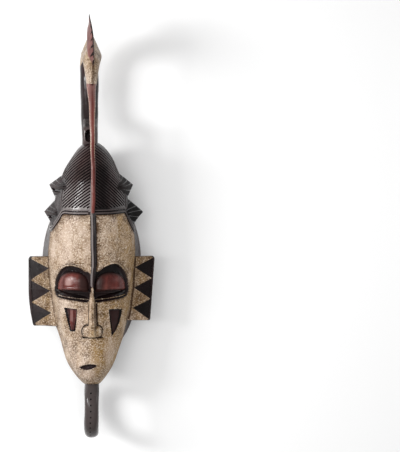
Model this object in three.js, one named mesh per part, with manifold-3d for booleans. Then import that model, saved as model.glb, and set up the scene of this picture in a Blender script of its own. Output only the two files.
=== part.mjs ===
// A carved wooden face mask, 632 mm long, with a long-beaked bird arching over its hair, lying on its back.
// Millimetres. +Z is the way the face looks, +Y runs from the chin ring to the bird's crest, +X is the
// viewer's right. The back rim lies flat on z = 0. The whole mask is one block of wood, so it is one mesh.
import * as THREE from "three";
import { mergeVertices } from "three/addons/utils/BufferGeometryUtils.js";
import Module from "manifold-3d";

const wasm = await Module();
wasm.setup();

// Driving dimensions. y = 0 is the middle of the mask before it is centred at the end.
const head = { widestY: -42, halfWidth: 65.8, crownY: 130, chinY: -240, roundness: 1.8 };
const rim = { middleY: -60, halfWidth: 77, up: 114, down: 141, roundness: 2.3, thickness: 11 };
const wall = 16;
const hairline = { y: 21, width: 3.4, raise: 1.3 };
const hair = { grooves: 16, pitch: 6.2, slope: 0.9, width: 2.4, depth: 1.5 };
const ear = { top: -44, bottom: { left: -149, right: -141.5 }, outTop: 95.5, outBottom: 88, frontZ: 63, edgeZ: 58, thickness: 7, triangles: 3 };
const beak = { rootY: 208, tipY: 19, rootWidth: 13, tipWidth: 6, backZ: 119.5 };
const ridge = { width: 7.6, raise: 3.6, bottomY: -92 };
const nose = { topY: -84, baseY: -163, baseWidth: 31, ridgeZ: 116.5 };
const eye = { inner: 4, outer: 56, archY: -52, sillY: -107, recess: 3, slitInner: 9, slitOuter: 51, slitY: -101 };
const mouth = { x: -5, y: -207, halfWidth: 12, halfHeight: 3.4, depth: 6 };
const ring = { y: -271, z: 59, reachY: 38, reachZ: 32, wide: 10.5, thick: 9.2, notches: 9 };
const crest = { scallops: 7, thick: 10, thin: 3 };
const loopX = -3.5;

// Depth profiles along the mask, as [y, z] points: the middle of the face, its widest line and its back.
const frontPoints = [
  [-240, 72], [-233, 87], [-220, 98], [-205, 103], [-185, 102], [-160, 102], [-120, 108], [-70, 115.5],
  [-20, 121.5], [30, 124], [65, 122.5], [86, 117], [105, 107.5], [118, 97.5], [126, 84], [130, 62],
];
const edgePoints = [[-240, 72], [-225, 60], [-200, 48], [-170, 42], [-100, 46], [-40, 50], [40, 55], [130, 62]];
const backPoints = [[-240, 72], [-232, 58], [-220, 47], [-208, 34], [-200, -2], [0, -30], [62, -8], [82, 4],
  [105, 20], [118, 33], [126, 46], [130, 62]];

// A smooth curve through [position, value] points that never overshoots them.
function profile(points) {
  const slopes = points.slice(1).map(([p, v], i) => (v - points[i][1]) / (p - points[i][0]));
  const tangents = points.map((_, i) => {
    if (i === 0) return slopes[0];
    if (i === points.length - 1) return slopes[i - 1];
    const [a, b] = [slopes[i - 1], slopes[i]];
    return a * b <= 0 ? 0 : (2 * a * b) / (a + b);
  });
  return (position) => {
    const at = THREE.MathUtils.clamp(position, points[0][0], points.at(-1)[0]);
    let i = 0;
    while (i < points.length - 2 && at > points[i + 1][0]) i++;
    const [p0, v0] = points[i];
    const [p1, v1] = points[i + 1];
    const span = p1 - p0;
    const t = (at - p0) / span;
    return (
      v0 * (1 + 2 * t) * (1 - t) ** 2 +
      tangents[i] * span * t * (1 - t) ** 2 +
      v1 * t * t * (3 - 2 * t) +
      tangents[i + 1] * span * t * t * (t - 1)
    );
  };
}

const frontAt = profile(frontPoints);
const edgeAt = profile(edgePoints);
const backAt = profile(backPoints);

const signedPower = (value, power) => Math.sign(value) * Math.abs(value) ** power;
const lerp = THREE.MathUtils.lerp;

// How wide a superellipse still is at a share d of the way to its tip.
const taper = (d, roundness) => Math.max(0, 1 - Math.min(1, Math.abs(d)) ** roundness) ** (1 / roundness);

// Half the head's width at height y, as the front view shows it.
function halfWidthAt(y, inset = 0) {
  const reach = y > head.widestY ? head.crownY - inset - head.widestY : head.widestY - head.chinY - inset;
  return (head.halfWidth - inset) * taper((y - head.widestY) / reach, head.roundness);
}

// Height of the face and hair above the back plane.
function surfaceZ(x, y) {
  return edgeAt(y) + (frontAt(y) - edgeAt(y)) * taper(x / Math.max(halfWidthAt(y), 0.001), 2);
}

// A closed three.js geometry as a solid that can be joined and cut, turned right side out if it isn't yet.
function solid(geometry) {
  const bare = geometry.clone();
  for (const name of Object.keys(bare.attributes)) if (name !== "position") bare.deleteAttribute(name);
  const merged = mergeVertices(bare, 1e-3);
  const vertProperties = new Float32Array(merged.attributes.position.array);
  const triVerts = new Uint32Array(merged.index.array);
  const made = new wasm.Manifold(new wasm.Mesh({ numProp: 3, vertProperties, triVerts }));
  if (made.volume() > 0) return made;
  return new wasm.Manifold(new wasm.Mesh({ numProp: 3, vertProperties, triVerts: triVerts.reverse() }));
}

const joined = (solids) => solids.reduce((all, one) => all.add(one));

// Moves every vertex of a geometry to where place(x, y, z) puts it.
function reshaped(geometry, place) {
  const positions = geometry.attributes.position;
  for (let i = 0; i < positions.count; i++) {
    positions.setXYZ(i, ...place(positions.getX(i), positions.getY(i), positions.getZ(i)));
  }
  return geometry;
}

// A closed body of rings: place(t, i) gives corner i of the ring at share t of the way along it.
function loft(sides, steps, place) {
  const turn = (2 * Math.PI) / sides;
  return reshaped(new THREE.CylinderGeometry(1, 1, 1, sides, steps), (x, y, z) => {
    const t = THREE.MathUtils.clamp(0.5 - y, 0, 1);
    if (Math.hypot(x, z) > 0.5) return place(t, ((Math.round(Math.atan2(x, z) / turn) % sides) + sides) % sides);
    const corners = Array.from({ length: sides }, (_, i) => place(t, i));
    return [0, 1, 2].map((k) => corners.reduce((sum, corner) => sum + corner[k], 0) / sides);
  });
}

// A tube along stations {at: [x, y, z], wide, deep, box}: wide is half the section across x, deep is half of it
// in the y-z plane, and box is 1 for an oval and less for a rounded rectangle.
function sweep(stations, sides, steps) {
  const path = new THREE.CatmullRomCurve3(stations.map(({ at }) => new THREE.Vector3(...at)));
  const last = stations.length - 1;
  const sizeAt = (key) => profile(stations.map((station, i) => [i, station[key] ?? 1]));
  const [wideAt, deepAt, boxAt] = [sizeAt("wide"), sizeAt("deep"), sizeAt("box")];
  return loft(sides, steps, (t, i) => {
    const angle = (2 * Math.PI * i) / sides;
    const forward = path.getTangent(t);
    const side = new THREE.Vector3(1, 0, 0).addScaledVector(forward, -forward.x).normalize();
    const up = new THREE.Vector3().crossVectors(side, forward);
    const power = boxAt(t * last);
    const across = signedPower(Math.cos(angle), power) * wideAt(t * last);
    const along = signedPower(Math.sin(angle), power) * deepAt(t * last);
    return path.getPoint(t).addScaledVector(side, across).addScaledVector(up, along).toArray();
  });
}

// A bar of a few flat sides along a line of points.
function bar(points, radius, sides = 6, steps = points.length * 2) {
  const section = new THREE.Shape(
    Array.from({ length: sides }, (_, i) => {
      const angle = (2 * Math.PI * i) / sides;
      return new THREE.Vector2(radius * Math.cos(angle), radius * Math.sin(angle));
    }),
  );
  const extrudePath = new THREE.CatmullRomCurve3(points.map((point) => new THREE.Vector3(...point)));
  return new THREE.ExtrudeGeometry(section, { steps, extrudePath });
}

// A flat outline of [x, y] points made into a block between two depths, which may follow the face.
function block(outline, lowAt, highAt) {
  const shape = new THREE.Shape(outline.map(([x, y]) => new THREE.Vector2(x, y)));
  return reshaped(new THREE.ExtrudeGeometry(shape, { depth: 1, bevelEnabled: false }), (x, y, z) => [
    x,
    y,
    z > 0.5 ? highAt(x, y) : lowAt(x, y),
  ]);
}

// A point on the face or hair, turned by an angle from the middle line, and the way out of the wood there.
function skin(angle, y) {
  const [wide, front, edge] = [halfWidthAt(y), frontAt(y), edgeAt(y)];
  const at = (turn, height) =>
    new THREE.Vector3(
      halfWidthAt(height) * Math.sin(turn),
      height,
      edgeAt(height) + (frontAt(height) - edgeAt(height)) * Math.cos(turn),
    );
  const across = at(angle + 0.02, y).sub(at(angle - 0.02, y));
  const along = at(angle, y + 0.5).sub(at(angle, y - 0.5));
  const out = across.cross(along).normalize();
  return { point: new THREE.Vector3(wide * Math.sin(angle), y, edge + (front - edge) * Math.cos(angle)), out };
}

// Both halves of something that is made for the viewer's right.
const both = (make) => [1, -1].map((side) => make(side));
const mirrored = (side, outline) => outline.map(([x, y]) => [x * side, y]);

// The egg of the face and hair.
function egg(around, along) {
  return reshaped(new THREE.SphereGeometry(1, around, along), (px, py, pz) => {
    const y = lerp(head.chinY, head.crownY, (py + 1) / 2);
    const out = Math.hypot(px, pz);
    const [sin, cos] = out > 1e-6 ? [px / out, pz / out] : [0, 0];
    const middle = edgeAt(y);
    return [halfWidthAt(y) * sin, y, middle + cos * (cos > 0 ? frontAt(y) - middle : middle - backAt(y))];
  });
}

// The side wall behind the face, from the back rim's outline up to the widest line of the face.
function skirt() {
  const tuck = 1.5;
  const jawY = -211;
  return reshaped(new THREE.CylinderGeometry(1, 1, 1, 48, 3), (x, h, z) => {
    const out = Math.hypot(x, z);
    const [cos, sin] = out > 1e-6 ? [x / out, z / out] : [0, 0];
    const up = h + 0.5;
    const share = up ** 0.8;
    const rimX = rim.halfWidth * signedPower(cos, 2 / rim.roundness);
    const rimY = (sin > 0 ? rim.up : rim.down) * signedPower(sin, 2 / rim.roundness);
    const reach = sin > 0 ? head.crownY - head.widestY - tuck : head.widestY - jawY;
    const edgeX = (head.halfWidth - tuck) * signedPower(cos, 2 / head.roundness);
    const edgeY = reach * signedPower(sin, 2 / head.roundness);
    const y = lerp(rim.middleY, head.widestY, share) + lerp(rimY, edgeY, share) * Math.min(1, out);
    return [lerp(rimX, edgeX, share) * Math.min(1, out), y, up * edgeAt(y)];
  });
}

// The hollow behind the face: walls that follow the skirt, under a vault that follows the face.
function cavity() {
  const top = rim.middleY + rim.up - rim.thickness;
  const bottom = rim.middleY - rim.down + rim.thickness;
  const springZ = 40;
  return reshaped(new THREE.SphereGeometry(1, 28, 14), (px, py, pz) => {
    const y = lerp(bottom, top, (py + 1) / 2);
    const out = Math.hypot(px, pz);
    const [cos, sin] = out > 1e-6 ? [px / out, pz / out] : [0, 0];
    const share = taper(py, 2.3);
    const wide = (head.halfWidth - wall + 3) * share;
    const foot = (rim.halfWidth - rim.thickness) * share;
    if (sin >= 0) return [wide * cos, y, springZ + (frontAt(y) - wall - springZ) * taper(py, 2.6) * sin];
    const down = Math.min(1, -sin / 0.8);
    return [lerp(wide, foot, down) * (-sin < 0.8 ? Math.sign(cos) : cos / 0.6), y, lerp(springZ, -4, down)];
  });
}

// A thick side panel of the face, its front sloping back towards the outer edge.
function earPanel(side) {
  const bottom = side > 0 ? ear.bottom.right : ear.bottom.left;
  const outline = [[48, ear.top], [ear.outTop, ear.top - 1.5], [ear.outBottom, bottom], [46, bottom]];
  const front = (x) => lerp(ear.frontZ, ear.edgeZ, (Math.abs(x) - 60) / (ear.outTop - 60));
  return block(mirrored(side, outline), (x) => front(x) - ear.thickness - (95 - Math.abs(x)) * 0.15, front);
}

// The dark triangles of a side panel, with their bases along its outer edge.
function earTriangle(side, index) {
  const at = (share, reach) => {
    const y = lerp(ear.top - 6, (side > 0 ? ear.bottom.right : ear.bottom.left) + 5, share);
    const outer = lerp(ear.outTop, ear.outBottom, share) - 2.5;
    return [side * (reach ? outer : outer - 24), y];
  };
  const [from, to] = [(index + 0.01) / ear.triangles, (index + 0.99) / ear.triangles];
  const floor = (x) => lerp(ear.frontZ, ear.edgeZ, (Math.abs(x) - 60) / (ear.outTop - 60)) - 1.3;
  return block([at(from, true), at(to, true), at((from + to) / 2, false)], floor, () => 90);
}

// A lock of hair standing off the side of the head, a ridge running from back to front.
function tuft(side, tipY, notchUp, notchDown, backX, frontX) {
  const shares = [0, 0.33, 0.66, 1];
  return loft(8, 4, (t, i) => {
    const z = lerp(42, 92, t);
    const tip = t < 0.75 ? lerp(backX, frontX, t / 0.75) : lerp(frontX, 38, (t - 0.75) / 0.25);
    const upper = i < 4;
    const share = upper ? shares[3 - i] : shares[i - 4];
    const root = upper ? notchUp : notchDown;
    return [side * lerp(tip, 34, share), tipY + (root - tipY) * (1 - (1 - share) ** 1.5), z];
  });
}

// The hairline: a raised line over the forehead that turns down behind the temple.
function hairlineBar(side) {
  const line = [[0, 0], [24, 0.5], [44, 2.5], [50, -8], [54, -18]];
  const points = line.map(([x, y]) => {
    const height = hairline.y + y;
    return [x * side, height, surfaceZ(x, height) + hairline.raise - hairline.width / 2];
  });
  return bar([...points, [66 * side, 2, 66], [68 * side, 1, 48]], hairline.width / 2, 6, 12);
}

// One groove of the combed hair, falling from the middle of the head to the side of it.
function hairGroove(side, index) {
  const startY = hairline.y + 9 + index * hair.pitch;
  const fallTo = (angle) => {
    let y = startY;
    for (let i = 0; i < 8; i++) y = startY - hair.slope * halfWidthAt(y) * Math.sin(angle);
    return y;
  };
  let end = 1.4;
  while (fallTo(end) < hairline.y + 4) end -= 0.02;
  const steps = Math.ceil(end * 3.2);
  const points = Array.from({ length: steps + 1 }, (_, i) => lerp(0.06, end, i / steps)).map((angle) =>
    skin(angle * side, fallTo(angle)),
  );
  return loft(3, points.length - 1, (t, i) => {
    const at = Math.round(t * (points.length - 1));
    const { point, out } = points[at];
    const next = points[Math.min(at + 1, points.length - 1)].point;
    const before = points[Math.max(at - 1, 0)].point;
    const across = new THREE.Vector3().crossVectors(out, next.clone().sub(before)).normalize();
    const place = i === 0 ? [0, -hair.depth] : [(i === 1 ? 1 : -1) * hair.width * 0.5 * 1.6, 0.6 * hair.depth];
    return point.clone().addScaledVector(across, place[0]).addScaledVector(out, place[1]).toArray();
  });
}

// The bird's neck and head, from inside the hair up, over and down to the beak: [x, y, z, half width, half depth].
const birdStations = [
  [loopX + 1, 106, 72, 13, 13], [loopX, 124, 69, 11, 11], [loopX, 139, 63.5, 10.5, 10.5], [loopX, 154, 54, 11, 11],
  [loopX, 172, 44.5, 11.8, 11.8], [loopX, 194, 41, 12.8, 12.8], [loopX, 215, 41, 13, 13], [loopX, 233, 43, 13, 13],
  [loopX, 247, 47.5, 13.3, 13.5], [loopX + 0.3, 261, 56, 13.8, 15.5], [loopX + 0.6, 271, 69, 14, 18],
  [loopX + 1, 271.5, 84, 14.2, 18], [loopX + 1.4, 264, 98, 14.3, 14], [loopX + 2, 254, 113, 14.3, 11.5],
  [-0.8, 239, 126.5, 13.2, 13], [0, 223, 131.5, 10.5, 13], [0, 204, 130, 7.6, 10.4],
].map(([x, y, z, wide, deep]) => ({ at: [x, y, z], wide, deep }));

// The bird's breast, where the neck meets the hair, with a deep hollow in its front.
function breast(hollow) {
  const outline = hollow
    ? [[78, 146], [120, 146], [120, 127], [80, 126]]
    : [[48, 160], [61, 166], [75, 156], [92, 148.5], [87, 122], [70, 112], [54, 130]];
  const half = hollow ? 7 : 9.5;
  return block(outline, () => -half, () => half).rotateY(-Math.PI / 2).translate(loopX + 1, 0, 0);
}

// The long beak, from the bird's head down to the hairline.
const beakStations = [beak.rootY + 10, beak.rootY - 4, 160, 110, 80, 50, beak.tipY].map((y) => {
  const front = profile([[beak.tipY, 127.5], [50, 129.5], [115, 131.5], [175, 134], [205, 140], [220, 142]])(y);
  const wide = profile([[beak.tipY, 3], [50, 3.6], [115, 5.4], [205, 6.5], [220, 6.5]])(y);
  return { at: [0, y, (front + beak.backZ) / 2], wide, deep: (front - beak.backZ) / 2, box: 0.45 };
});

// The blade on the bird's head, with a scalloped front edge.
function crestBlade() {
  const edge = new THREE.CatmullRomCurve3(
    [[232, 147], [246, 150], [268, 144], [291, 131], [306, 117], [313.5, 104]].map(([y, z]) => new THREE.Vector3(0, y, z)),
  );
  const scallops = Array.from({ length: crest.scallops * 3 + 1 }, (_, i) => {
    const { y, z } = edge.getPointAt(i / (crest.scallops * 3));
    const grow = i % 3 === 0 ? -1.2 : 0.8;
    return [z + grow * 0.7, y + grow * 0.4];
  });
  const shape = new THREE.Shape([[136, 228], ...scallops, [92, 313.5], [91, 296], [91, 278]].map(([z, y]) => new THREE.Vector2(z, y)));
  return reshaped(new THREE.ExtrudeGeometry(shape, { depth: 1, bevelEnabled: false }), (z, y, x) => {
    const rise = THREE.MathUtils.clamp((y - 235) / 78, 0, 1);
    return [(x - 0.5) * lerp(crest.thick, crest.thin, rise) - 4 * rise, y, z];
  });
}

// The nose: a narrow ridge that widens into two nostril wings.
function noseWedge() {
  const halfBase = profile([[nose.baseY, 15.5], [-152, 14.5], [-143, 9.5], [-125, 6.5], [-100, 5], [nose.topY, 4]]);
  const crestZ = profile([[nose.baseY, 112], [-150, 116], [-120, 117], [-95, 118], [nose.topY, 118]]);
  return loft(7, 9, (t, i) => {
    const y = lerp(nose.baseY, nose.topY, t);
    const top = Math.min(4.5, halfBase(y) * 0.6);
    const base = halfBase(y);
    const [x, lift] = [[-base - 2, -8], [-base, 1], [-top, null], [0, null], [top, null], [base, 1], [base + 2, -8]][i];
    const surface = surfaceZ(x, y);
    return [x, y, lift === null ? crestZ(y) + (x === 0 ? 0.6 : -0.8) : surface + lift + (Math.abs(lift) === 1 ? (y < -140 ? 3 : 0) : 0)];
  });
}

// The ridge down the middle of the forehead.
function foreheadRidge() {
  return loft(4, 8, (t, i) => {
    const y = lerp(hairline.y + 4, ridge.bottomY, t);
    const x = [-0.5, 0.5, 0.5, -0.5][i] * (i > 1 ? ridge.width + 2 : ridge.width - 1);
    return [x, y, i > 1 ? surfaceZ(0, y) - 6 : surfaceZ(0, y) + ridge.raise - 0.4];
  });
}

// The D-shaped hollow of an eye, as [x, y] points on the viewer's right.
const socketOutline = Array.from({ length: 13 }, (_, i) => {
  const angle = Math.PI * (i / 12);
  const middle = (eye.inner + eye.outer) / 2;
  const reach = (eye.outer - eye.inner) / 2;
  return [middle + reach * Math.cos(angle), eye.sillY + 9 + (eye.archY - eye.sillY - 9) * Math.sin(angle) ** 0.7];
}).concat([[eye.inner + 8, eye.sillY], [eye.outer - 8, eye.sillY]]);

// The swelling of a closed upper lid inside the hollow.
function lid(side) {
  return loft(12, 8, (t, i) => {
    const x = lerp(eye.inner + 4, eye.outer - 4, t);
    const bow = Math.sqrt(Math.max(0, 1 - (2 * t - 1) ** 2));
    const angle = (2 * Math.PI * i) / 12;
    const y = -86 + 12 * Math.cos(angle) * bow * (Math.cos(angle) > 0 ? 1.6 : 0.75);
    return [x * side, y, surfaceZ(x, -86) - 5 + (7 * bow + 0.2) * Math.sin(angle)];
  });
}

// The crescent between the lids, open right through into the hollow behind.
function slit(side) {
  const count = 9;
  const middle = (eye.slitInner + eye.slitOuter) / 2;
  const reach = (eye.slitOuter - eye.slitInner) / 2;
  const arc = (rise) =>
    Array.from({ length: count }, (_, i) => {
      const across = lerp(-1, 1, i / (count - 1));
      return [middle + reach * across, eye.slitY + rise * (1 - across ** 2)];
    });
  const outline = [...arc(-4.2), ...arc(3.4).reverse().slice(1, -1)];
  return block(mirrored(side, outline), () => 20, () => 200);
}

// A chip-cut triangle on the cheek, pointing down, with three facets.
function cheekMark(side) {
  const corners = side > 0 ? [[25, -121.5], [43.5, -122.5], [29, -161]] : [[23, -122.5], [41.5, -119.5], [26, -154]];
  const middle = [(corners[0][0] + corners[1][0] + corners[2][0]) / 3 - 1, -133];
  return loft(3, 2, (t, i) => {
    const [x, y] = [0, 1].map((k) => (t < 0.75 ? corners[i][k] : lerp(middle[k], corners[i][k], 0.04)));
    return [x * side, y, t < 0.25 ? surfaceZ(x, y) + 8 : surfaceZ(x, y) + (t < 0.75 ? 0.05 : -4)];
  });
}

// The pursed mouth.
function mouthCut() {
  const outline = Array.from({ length: 16 }, (_, i) => {
    const angle = (2 * Math.PI * i) / 16;
    return [mouth.x + mouth.halfWidth * Math.cos(angle), mouth.y + mouth.halfHeight * signedPower(Math.sin(angle), 1.3)];
  });
  return block(outline, (x, y) => surfaceZ(x, y) - mouth.depth, () => 200);
}

const halfSpace = solid(new THREE.BoxGeometry(400, 800, 400).translate(0, 0, 200));
const chinRing = reshaped(new THREE.TorusGeometry(1, 0.26, 8, 22), (x, y, z) => {
  const out = Math.hypot(x, y);
  const tube = (out - 1) / 0.26;
  return [
    (z / 0.26) * ring.wide + 0.5,
    ring.y + (x / out) * (ring.reachY + tube * ring.thick),
    ring.z + (y / out) * (ring.reachZ + tube * ring.thick),
  ];
});

const solids = [
  solid(egg(30, 34)),
  solid(skirt()),
  ...both(earPanel).map(solid),
  ...both((side) => tuft(side, 65, 88, 38, 66, 49)).map(solid),
  ...both((side) => tuft(side, 22.5, 42, -8, side > 0 ? 75 : 71, 58)).map(solid),
  ...both(hairlineBar).map(solid),
  solid(sweep(birdStations, 12, 22)),
  solid(sweep(beakStations, 12, 8)),
  solid(crestBlade()),
  solid(foreheadRidge()),
  solid(noseWedge()),
  solid(chinRing),
  solid(breast(false)),
];
const sockets = both((side) => block(mirrored(side, socketOutline), (x, y) => surfaceZ(x, y) - eye.recess, () => 200));
const cuts = [
  solid(cavity()),
  ...both(slit).map(solid),
  ...both(cheekMark).map(solid),
  solid(mouthCut()),
  solid(breast(true)),
  ...both((side) => Array.from({ length: ear.triangles }, (_, i) => solid(earTriangle(side, i)))).flat(),
];
const grooves = both((side) => Array.from({ length: hair.grooves }, (_, i) => solid(hairGroove(side, i)))).flat();

const rough = solids.slice(0, 2).reduce((all, one) => all.add(one));
const combed = rough.subtract(joined(grooves)).subtract(joined(sockets.map(solid)));
const carved = joined([combed, ...both(lid).map(solid), ...solids.slice(2)]).intersect(halfSpace);
const made = carved.subtract(joined(cuts)).getMesh();

const geometry = new THREE.BufferGeometry();
geometry.setAttribute("position", new THREE.BufferAttribute(made.vertProperties, 3));
geometry.setIndex(new THREE.BufferAttribute(made.triVerts, 1));
geometry.computeBoundingBox();
const { min, max } = geometry.boundingBox;
geometry.translate(-(min.x + max.x) / 2, -(min.y + max.y) / 2, -min.z);
geometry.computeVertexNormals();

const wood = new THREE.MeshStandardMaterial({ color: 0xd2b48c, roughness: 0.75, metalness: 0 });
const mask = new THREE.Mesh(geometry, wood);
mask.name = "mask";
const group = new THREE.Group().add(mask);
export default group;
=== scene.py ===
import math

import bpy
import numpy as np
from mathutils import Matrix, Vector, noise


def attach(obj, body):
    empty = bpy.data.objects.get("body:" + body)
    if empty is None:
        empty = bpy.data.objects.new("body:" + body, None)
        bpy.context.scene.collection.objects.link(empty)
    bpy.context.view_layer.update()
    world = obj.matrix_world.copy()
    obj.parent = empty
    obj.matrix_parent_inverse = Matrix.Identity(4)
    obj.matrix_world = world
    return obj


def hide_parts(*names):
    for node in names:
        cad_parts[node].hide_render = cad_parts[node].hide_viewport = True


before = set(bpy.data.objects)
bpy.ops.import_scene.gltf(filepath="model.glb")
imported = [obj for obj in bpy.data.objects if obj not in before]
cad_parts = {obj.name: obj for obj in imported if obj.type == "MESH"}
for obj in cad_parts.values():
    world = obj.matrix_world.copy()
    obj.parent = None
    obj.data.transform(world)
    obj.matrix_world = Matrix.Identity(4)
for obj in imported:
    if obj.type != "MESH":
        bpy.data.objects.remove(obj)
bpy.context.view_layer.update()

# Lengths are in millimetres until a mesh is made. x = 0 and y = 0 are the carver's centre lines, and
# shiftY brings them to the frame, whose middle is halfway between the chin ring and the crest.
shiftY = 2.35


def fade(low, high, value):  # a smooth step, 0 at low and 1 at high
    t = np.clip((np.asarray(value, float) - low) / (high - low), 0, 1)
    return t * t * (3 - 2 * t)


def bump(distance, width):
    return np.exp(-((distance / width) ** 2))


def falloff(distance, reach):  # 1 up to a border, less and less beyond it
    return np.exp(-np.clip(distance, 0, 99) / reach)


def soft(distance, width=1.5):  # share of paint from a distance, half at the line itself
    return np.clip(0.5 - np.asarray(distance, float) / (2 * width), 0, 1)


def signedPower(value, power):
    return np.sign(value) * np.abs(value) ** power


def taper(share, roundness):  # how wide a superellipse still is at a share of the way to its tip
    return np.clip(1 - np.clip(np.abs(share), 0, 1) ** roundness, 0, 1) ** (1 / roundness)


def fullTurn(count):
    return np.linspace(0, 2 * np.pi, count, endpoint=False)


def xyz(x, y, z):
    return np.stack(np.broadcast_arrays(x, y, z), -1)


def unit(vectors):
    return vectors / np.linalg.norm(vectors, axis=-1, keepdims=True)


def lengthAlong(points):
    return np.concatenate([[0], np.cumsum(np.linalg.norm(np.diff(points, axis=0), axis=1))])


def readCurve(at, value, slope, x):  # a cubic through the values, with the slopes given at them
    i = np.clip(np.searchsorted(at, x, side="right") - 1, 0, len(at) - 2)
    span = (at[i + 1] - at[i])[..., None]
    t = (x - at[i])[..., None] / span
    return (value[i] * (1 + 2 * t) * (1 - t) ** 2 + slope[i] * span * t * (1 - t) ** 2
            + value[i + 1] * t * t * (3 - 2 * t) + slope[i + 1] * span * t * t * (t - 1))


def profile(points):  # a curve through [position, value] points that never overshoots them
    table = np.array(points, float)
    at, value = table[:, 0], table[:, 1:]
    slope = np.diff(value, axis=0) / np.diff(at)[:, None]
    product, total = slope[:-1] * slope[1:], slope[:-1] + slope[1:]
    inner = np.where(product > 0, 2 * product / np.where(product > 0, total, 1), 0)
    slope = np.vstack([slope[:1], inner, slope[-1:]])

    def read(position):
        out = readCurve(at, value, slope, np.clip(np.asarray(position, float), at[0], at[-1]))
        return out[..., 0] if value.shape[1] == 1 else out

    return read


def lineDistance(x, y, line, tiny=0.0):
    best = np.full(np.shape(x), 1e9)
    for (ax, ay), (bx, by) in zip(line[:-1], line[1:]):
        dx, dy = bx - ax, by - ay
        t = np.clip(((x - ax) * dx + (y - ay) * dy) / (dx * dx + dy * dy + tiny), 0, 1)
        best = np.minimum(best, np.hypot(x - ax - t * dx, y - ay - t * dy))
    return best


def edgeDistance(x, y, outline):  # distance to a closed outline, negative inside it
    closed = np.vstack([outline, outline[:1]])
    inside = np.zeros(np.shape(x), bool)
    for (ax, ay), (bx, by) in zip(closed[:-1], closed[1:]):
        if ay != by:
            inside ^= ((ay > y) != (by > y)) & (x < ax + (y - ay) * (bx - ax) / (by - ay))
    best = lineDistance(x, y, closed, 1e-9)
    return np.where(inside, -best, best)


# what each corner of a mesh is painted: dark stain, red, bare wood (a low share only dulls the stain), and a
# share of grime and painted light: high for grime and painted shade, low for wear and painted highlight
darkStain, blackGroove, bareWood = (1, 0, 0, 0.15), (1, 0, 0, 0.69), (0, 0, 1, 0.3)
unpainted = bpy.data.materials.new("unpainted")


def inFrame(points):
    return (np.asarray(points, float) + [0, shiftY, 0]) / 1000


def addObject(name, data):
    made = bpy.data.objects.new(name, data)
    bpy.context.scene.collection.objects.link(made)
    return made


def setPaint(mesh, paint):
    mesh.attributes.new("paint", "FLOAT_COLOR", "CORNER").data.foreach_set("color", paint.ravel())


def loft(name, rings, paint, looped=False):  # a closed body through rings, painted all over or point by point
    rings = np.asarray(rings, float)
    count, sides = rings.shape[:2]
    i, j = np.arange(count if looped else count - 1)[:, None] * sides, np.arange(sides)
    above, after = (i + sides) % (count * sides), (j + 1) % sides
    quads = np.stack(np.broadcast_arrays(i + j, i + after, above + after, above + j), -1).reshape(-1, 4)
    points = rings.reshape(-1, 3)
    paint = np.broadcast_to(np.asarray(paint, float), (count, sides, 4)).reshape(-1, 4)
    caps = np.empty((0, 3), int)
    if not looped:
        bottom, top, last = len(points), len(points) + 1, len(points) - sides
        points = np.vstack([points, rings[0].mean(0), rings[-1].mean(0)])
        paint = np.vstack([paint, paint[:sides].mean(0), paint[-sides:].mean(0)])
        caps = np.vstack([xyz(bottom, after, j), xyz(top, last + j, last + after)])
    corner = points[np.vstack([quads[:, :3], quads[:, [0, 2, 3]], caps])]
    volume = np.einsum("ij,ij->", corner[:, 0], np.cross(corner[:, 1], corner[:, 2]))
    way = -1 if volume < 0 else 1
    mesh = bpy.data.meshes.new(name)
    mesh.from_pydata(inFrame(points).tolist(), [], quads[:, ::way].tolist() + caps[:, ::way].tolist())
    mesh.materials.append(unpainted)
    index = np.empty(len(mesh.loops), int)
    mesh.loops.foreach_get("vertex_index", index)
    setPaint(mesh, paint[index])
    return addObject(name, mesh)


def evaluated(piece):
    graph = bpy.context.evaluated_depsgraph_get()
    return bpy.data.meshes.new_from_object(piece.evaluated_get(graph))


def frozen(piece):  # the piece as it is after its modifiers, as a plain mesh
    mesh = evaluated(piece)
    piece.modifiers.clear()
    piece.data = mesh
    return piece


def carve(block, tool, operation="DIFFERENCE"):  # cuts a piece out of the block, or joins it on
    cut = block.modifiers.new(operation, "BOOLEAN")
    cut.solver, cut.operation, cut.object = "MANIFOLD", operation, tool
    frozen(block)
    bpy.data.objects.remove(tool)


def curveObject(name, lines):
    curve = bpy.data.curves.new(name, "CURVE")
    curve.dimensions = "3D"
    for line in lines:
        spline = curve.splines.new("POLY")
        spline.points.add(len(line) - 1)
        spline.points.foreach_set("co", np.hstack([inFrame(line), np.ones((len(line), 1))]).ravel())
    return addObject(name, curve)


socketKinds = {float: "Float", int: "Int", tuple: "Vector"}


def newTree(name, inputs):
    tree = bpy.data.node_groups.new(name, "GeometryNodeTree")
    tree.interface.new_socket("Geometry", in_out="INPUT", socket_type="NodeSocketGeometry")
    for label, value in inputs.items():
        kind = "NodeSocket" + socketKinds[type(value)]
        tree.interface.new_socket(label, in_out="INPUT", socket_type=kind).default_value = value
    tree.interface.new_socket("Geometry", in_out="OUTPUT", socket_type="NodeSocketGeometry")
    return tree, tree.nodes.new("NodeGroupInput").outputs


def addNode(tree, kind, inputs=None, **settings):
    made = tree.nodes.new(kind)
    for key, value in settings.items():
        setattr(made, key, value)
    for key, value in (inputs or {}).items():
        if isinstance(value, bpy.types.NodeSocket):
            tree.links.new(value, made.inputs[key])
        else:
            made.inputs[key].default_value = value
    return made.outputs


def finishTree(tree, geometry):
    real = addNode(tree, "GeometryNodeRealizeInstances", {"Geometry": geometry})
    done = addNode(tree, "GeometryNodeSetMaterial", {"Geometry": real["Geometry"], "Material": unpainted})
    tree.links.new(done["Geometry"], tree.nodes.new("NodeGroupOutput").inputs["Geometry"])
    return tree


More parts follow.
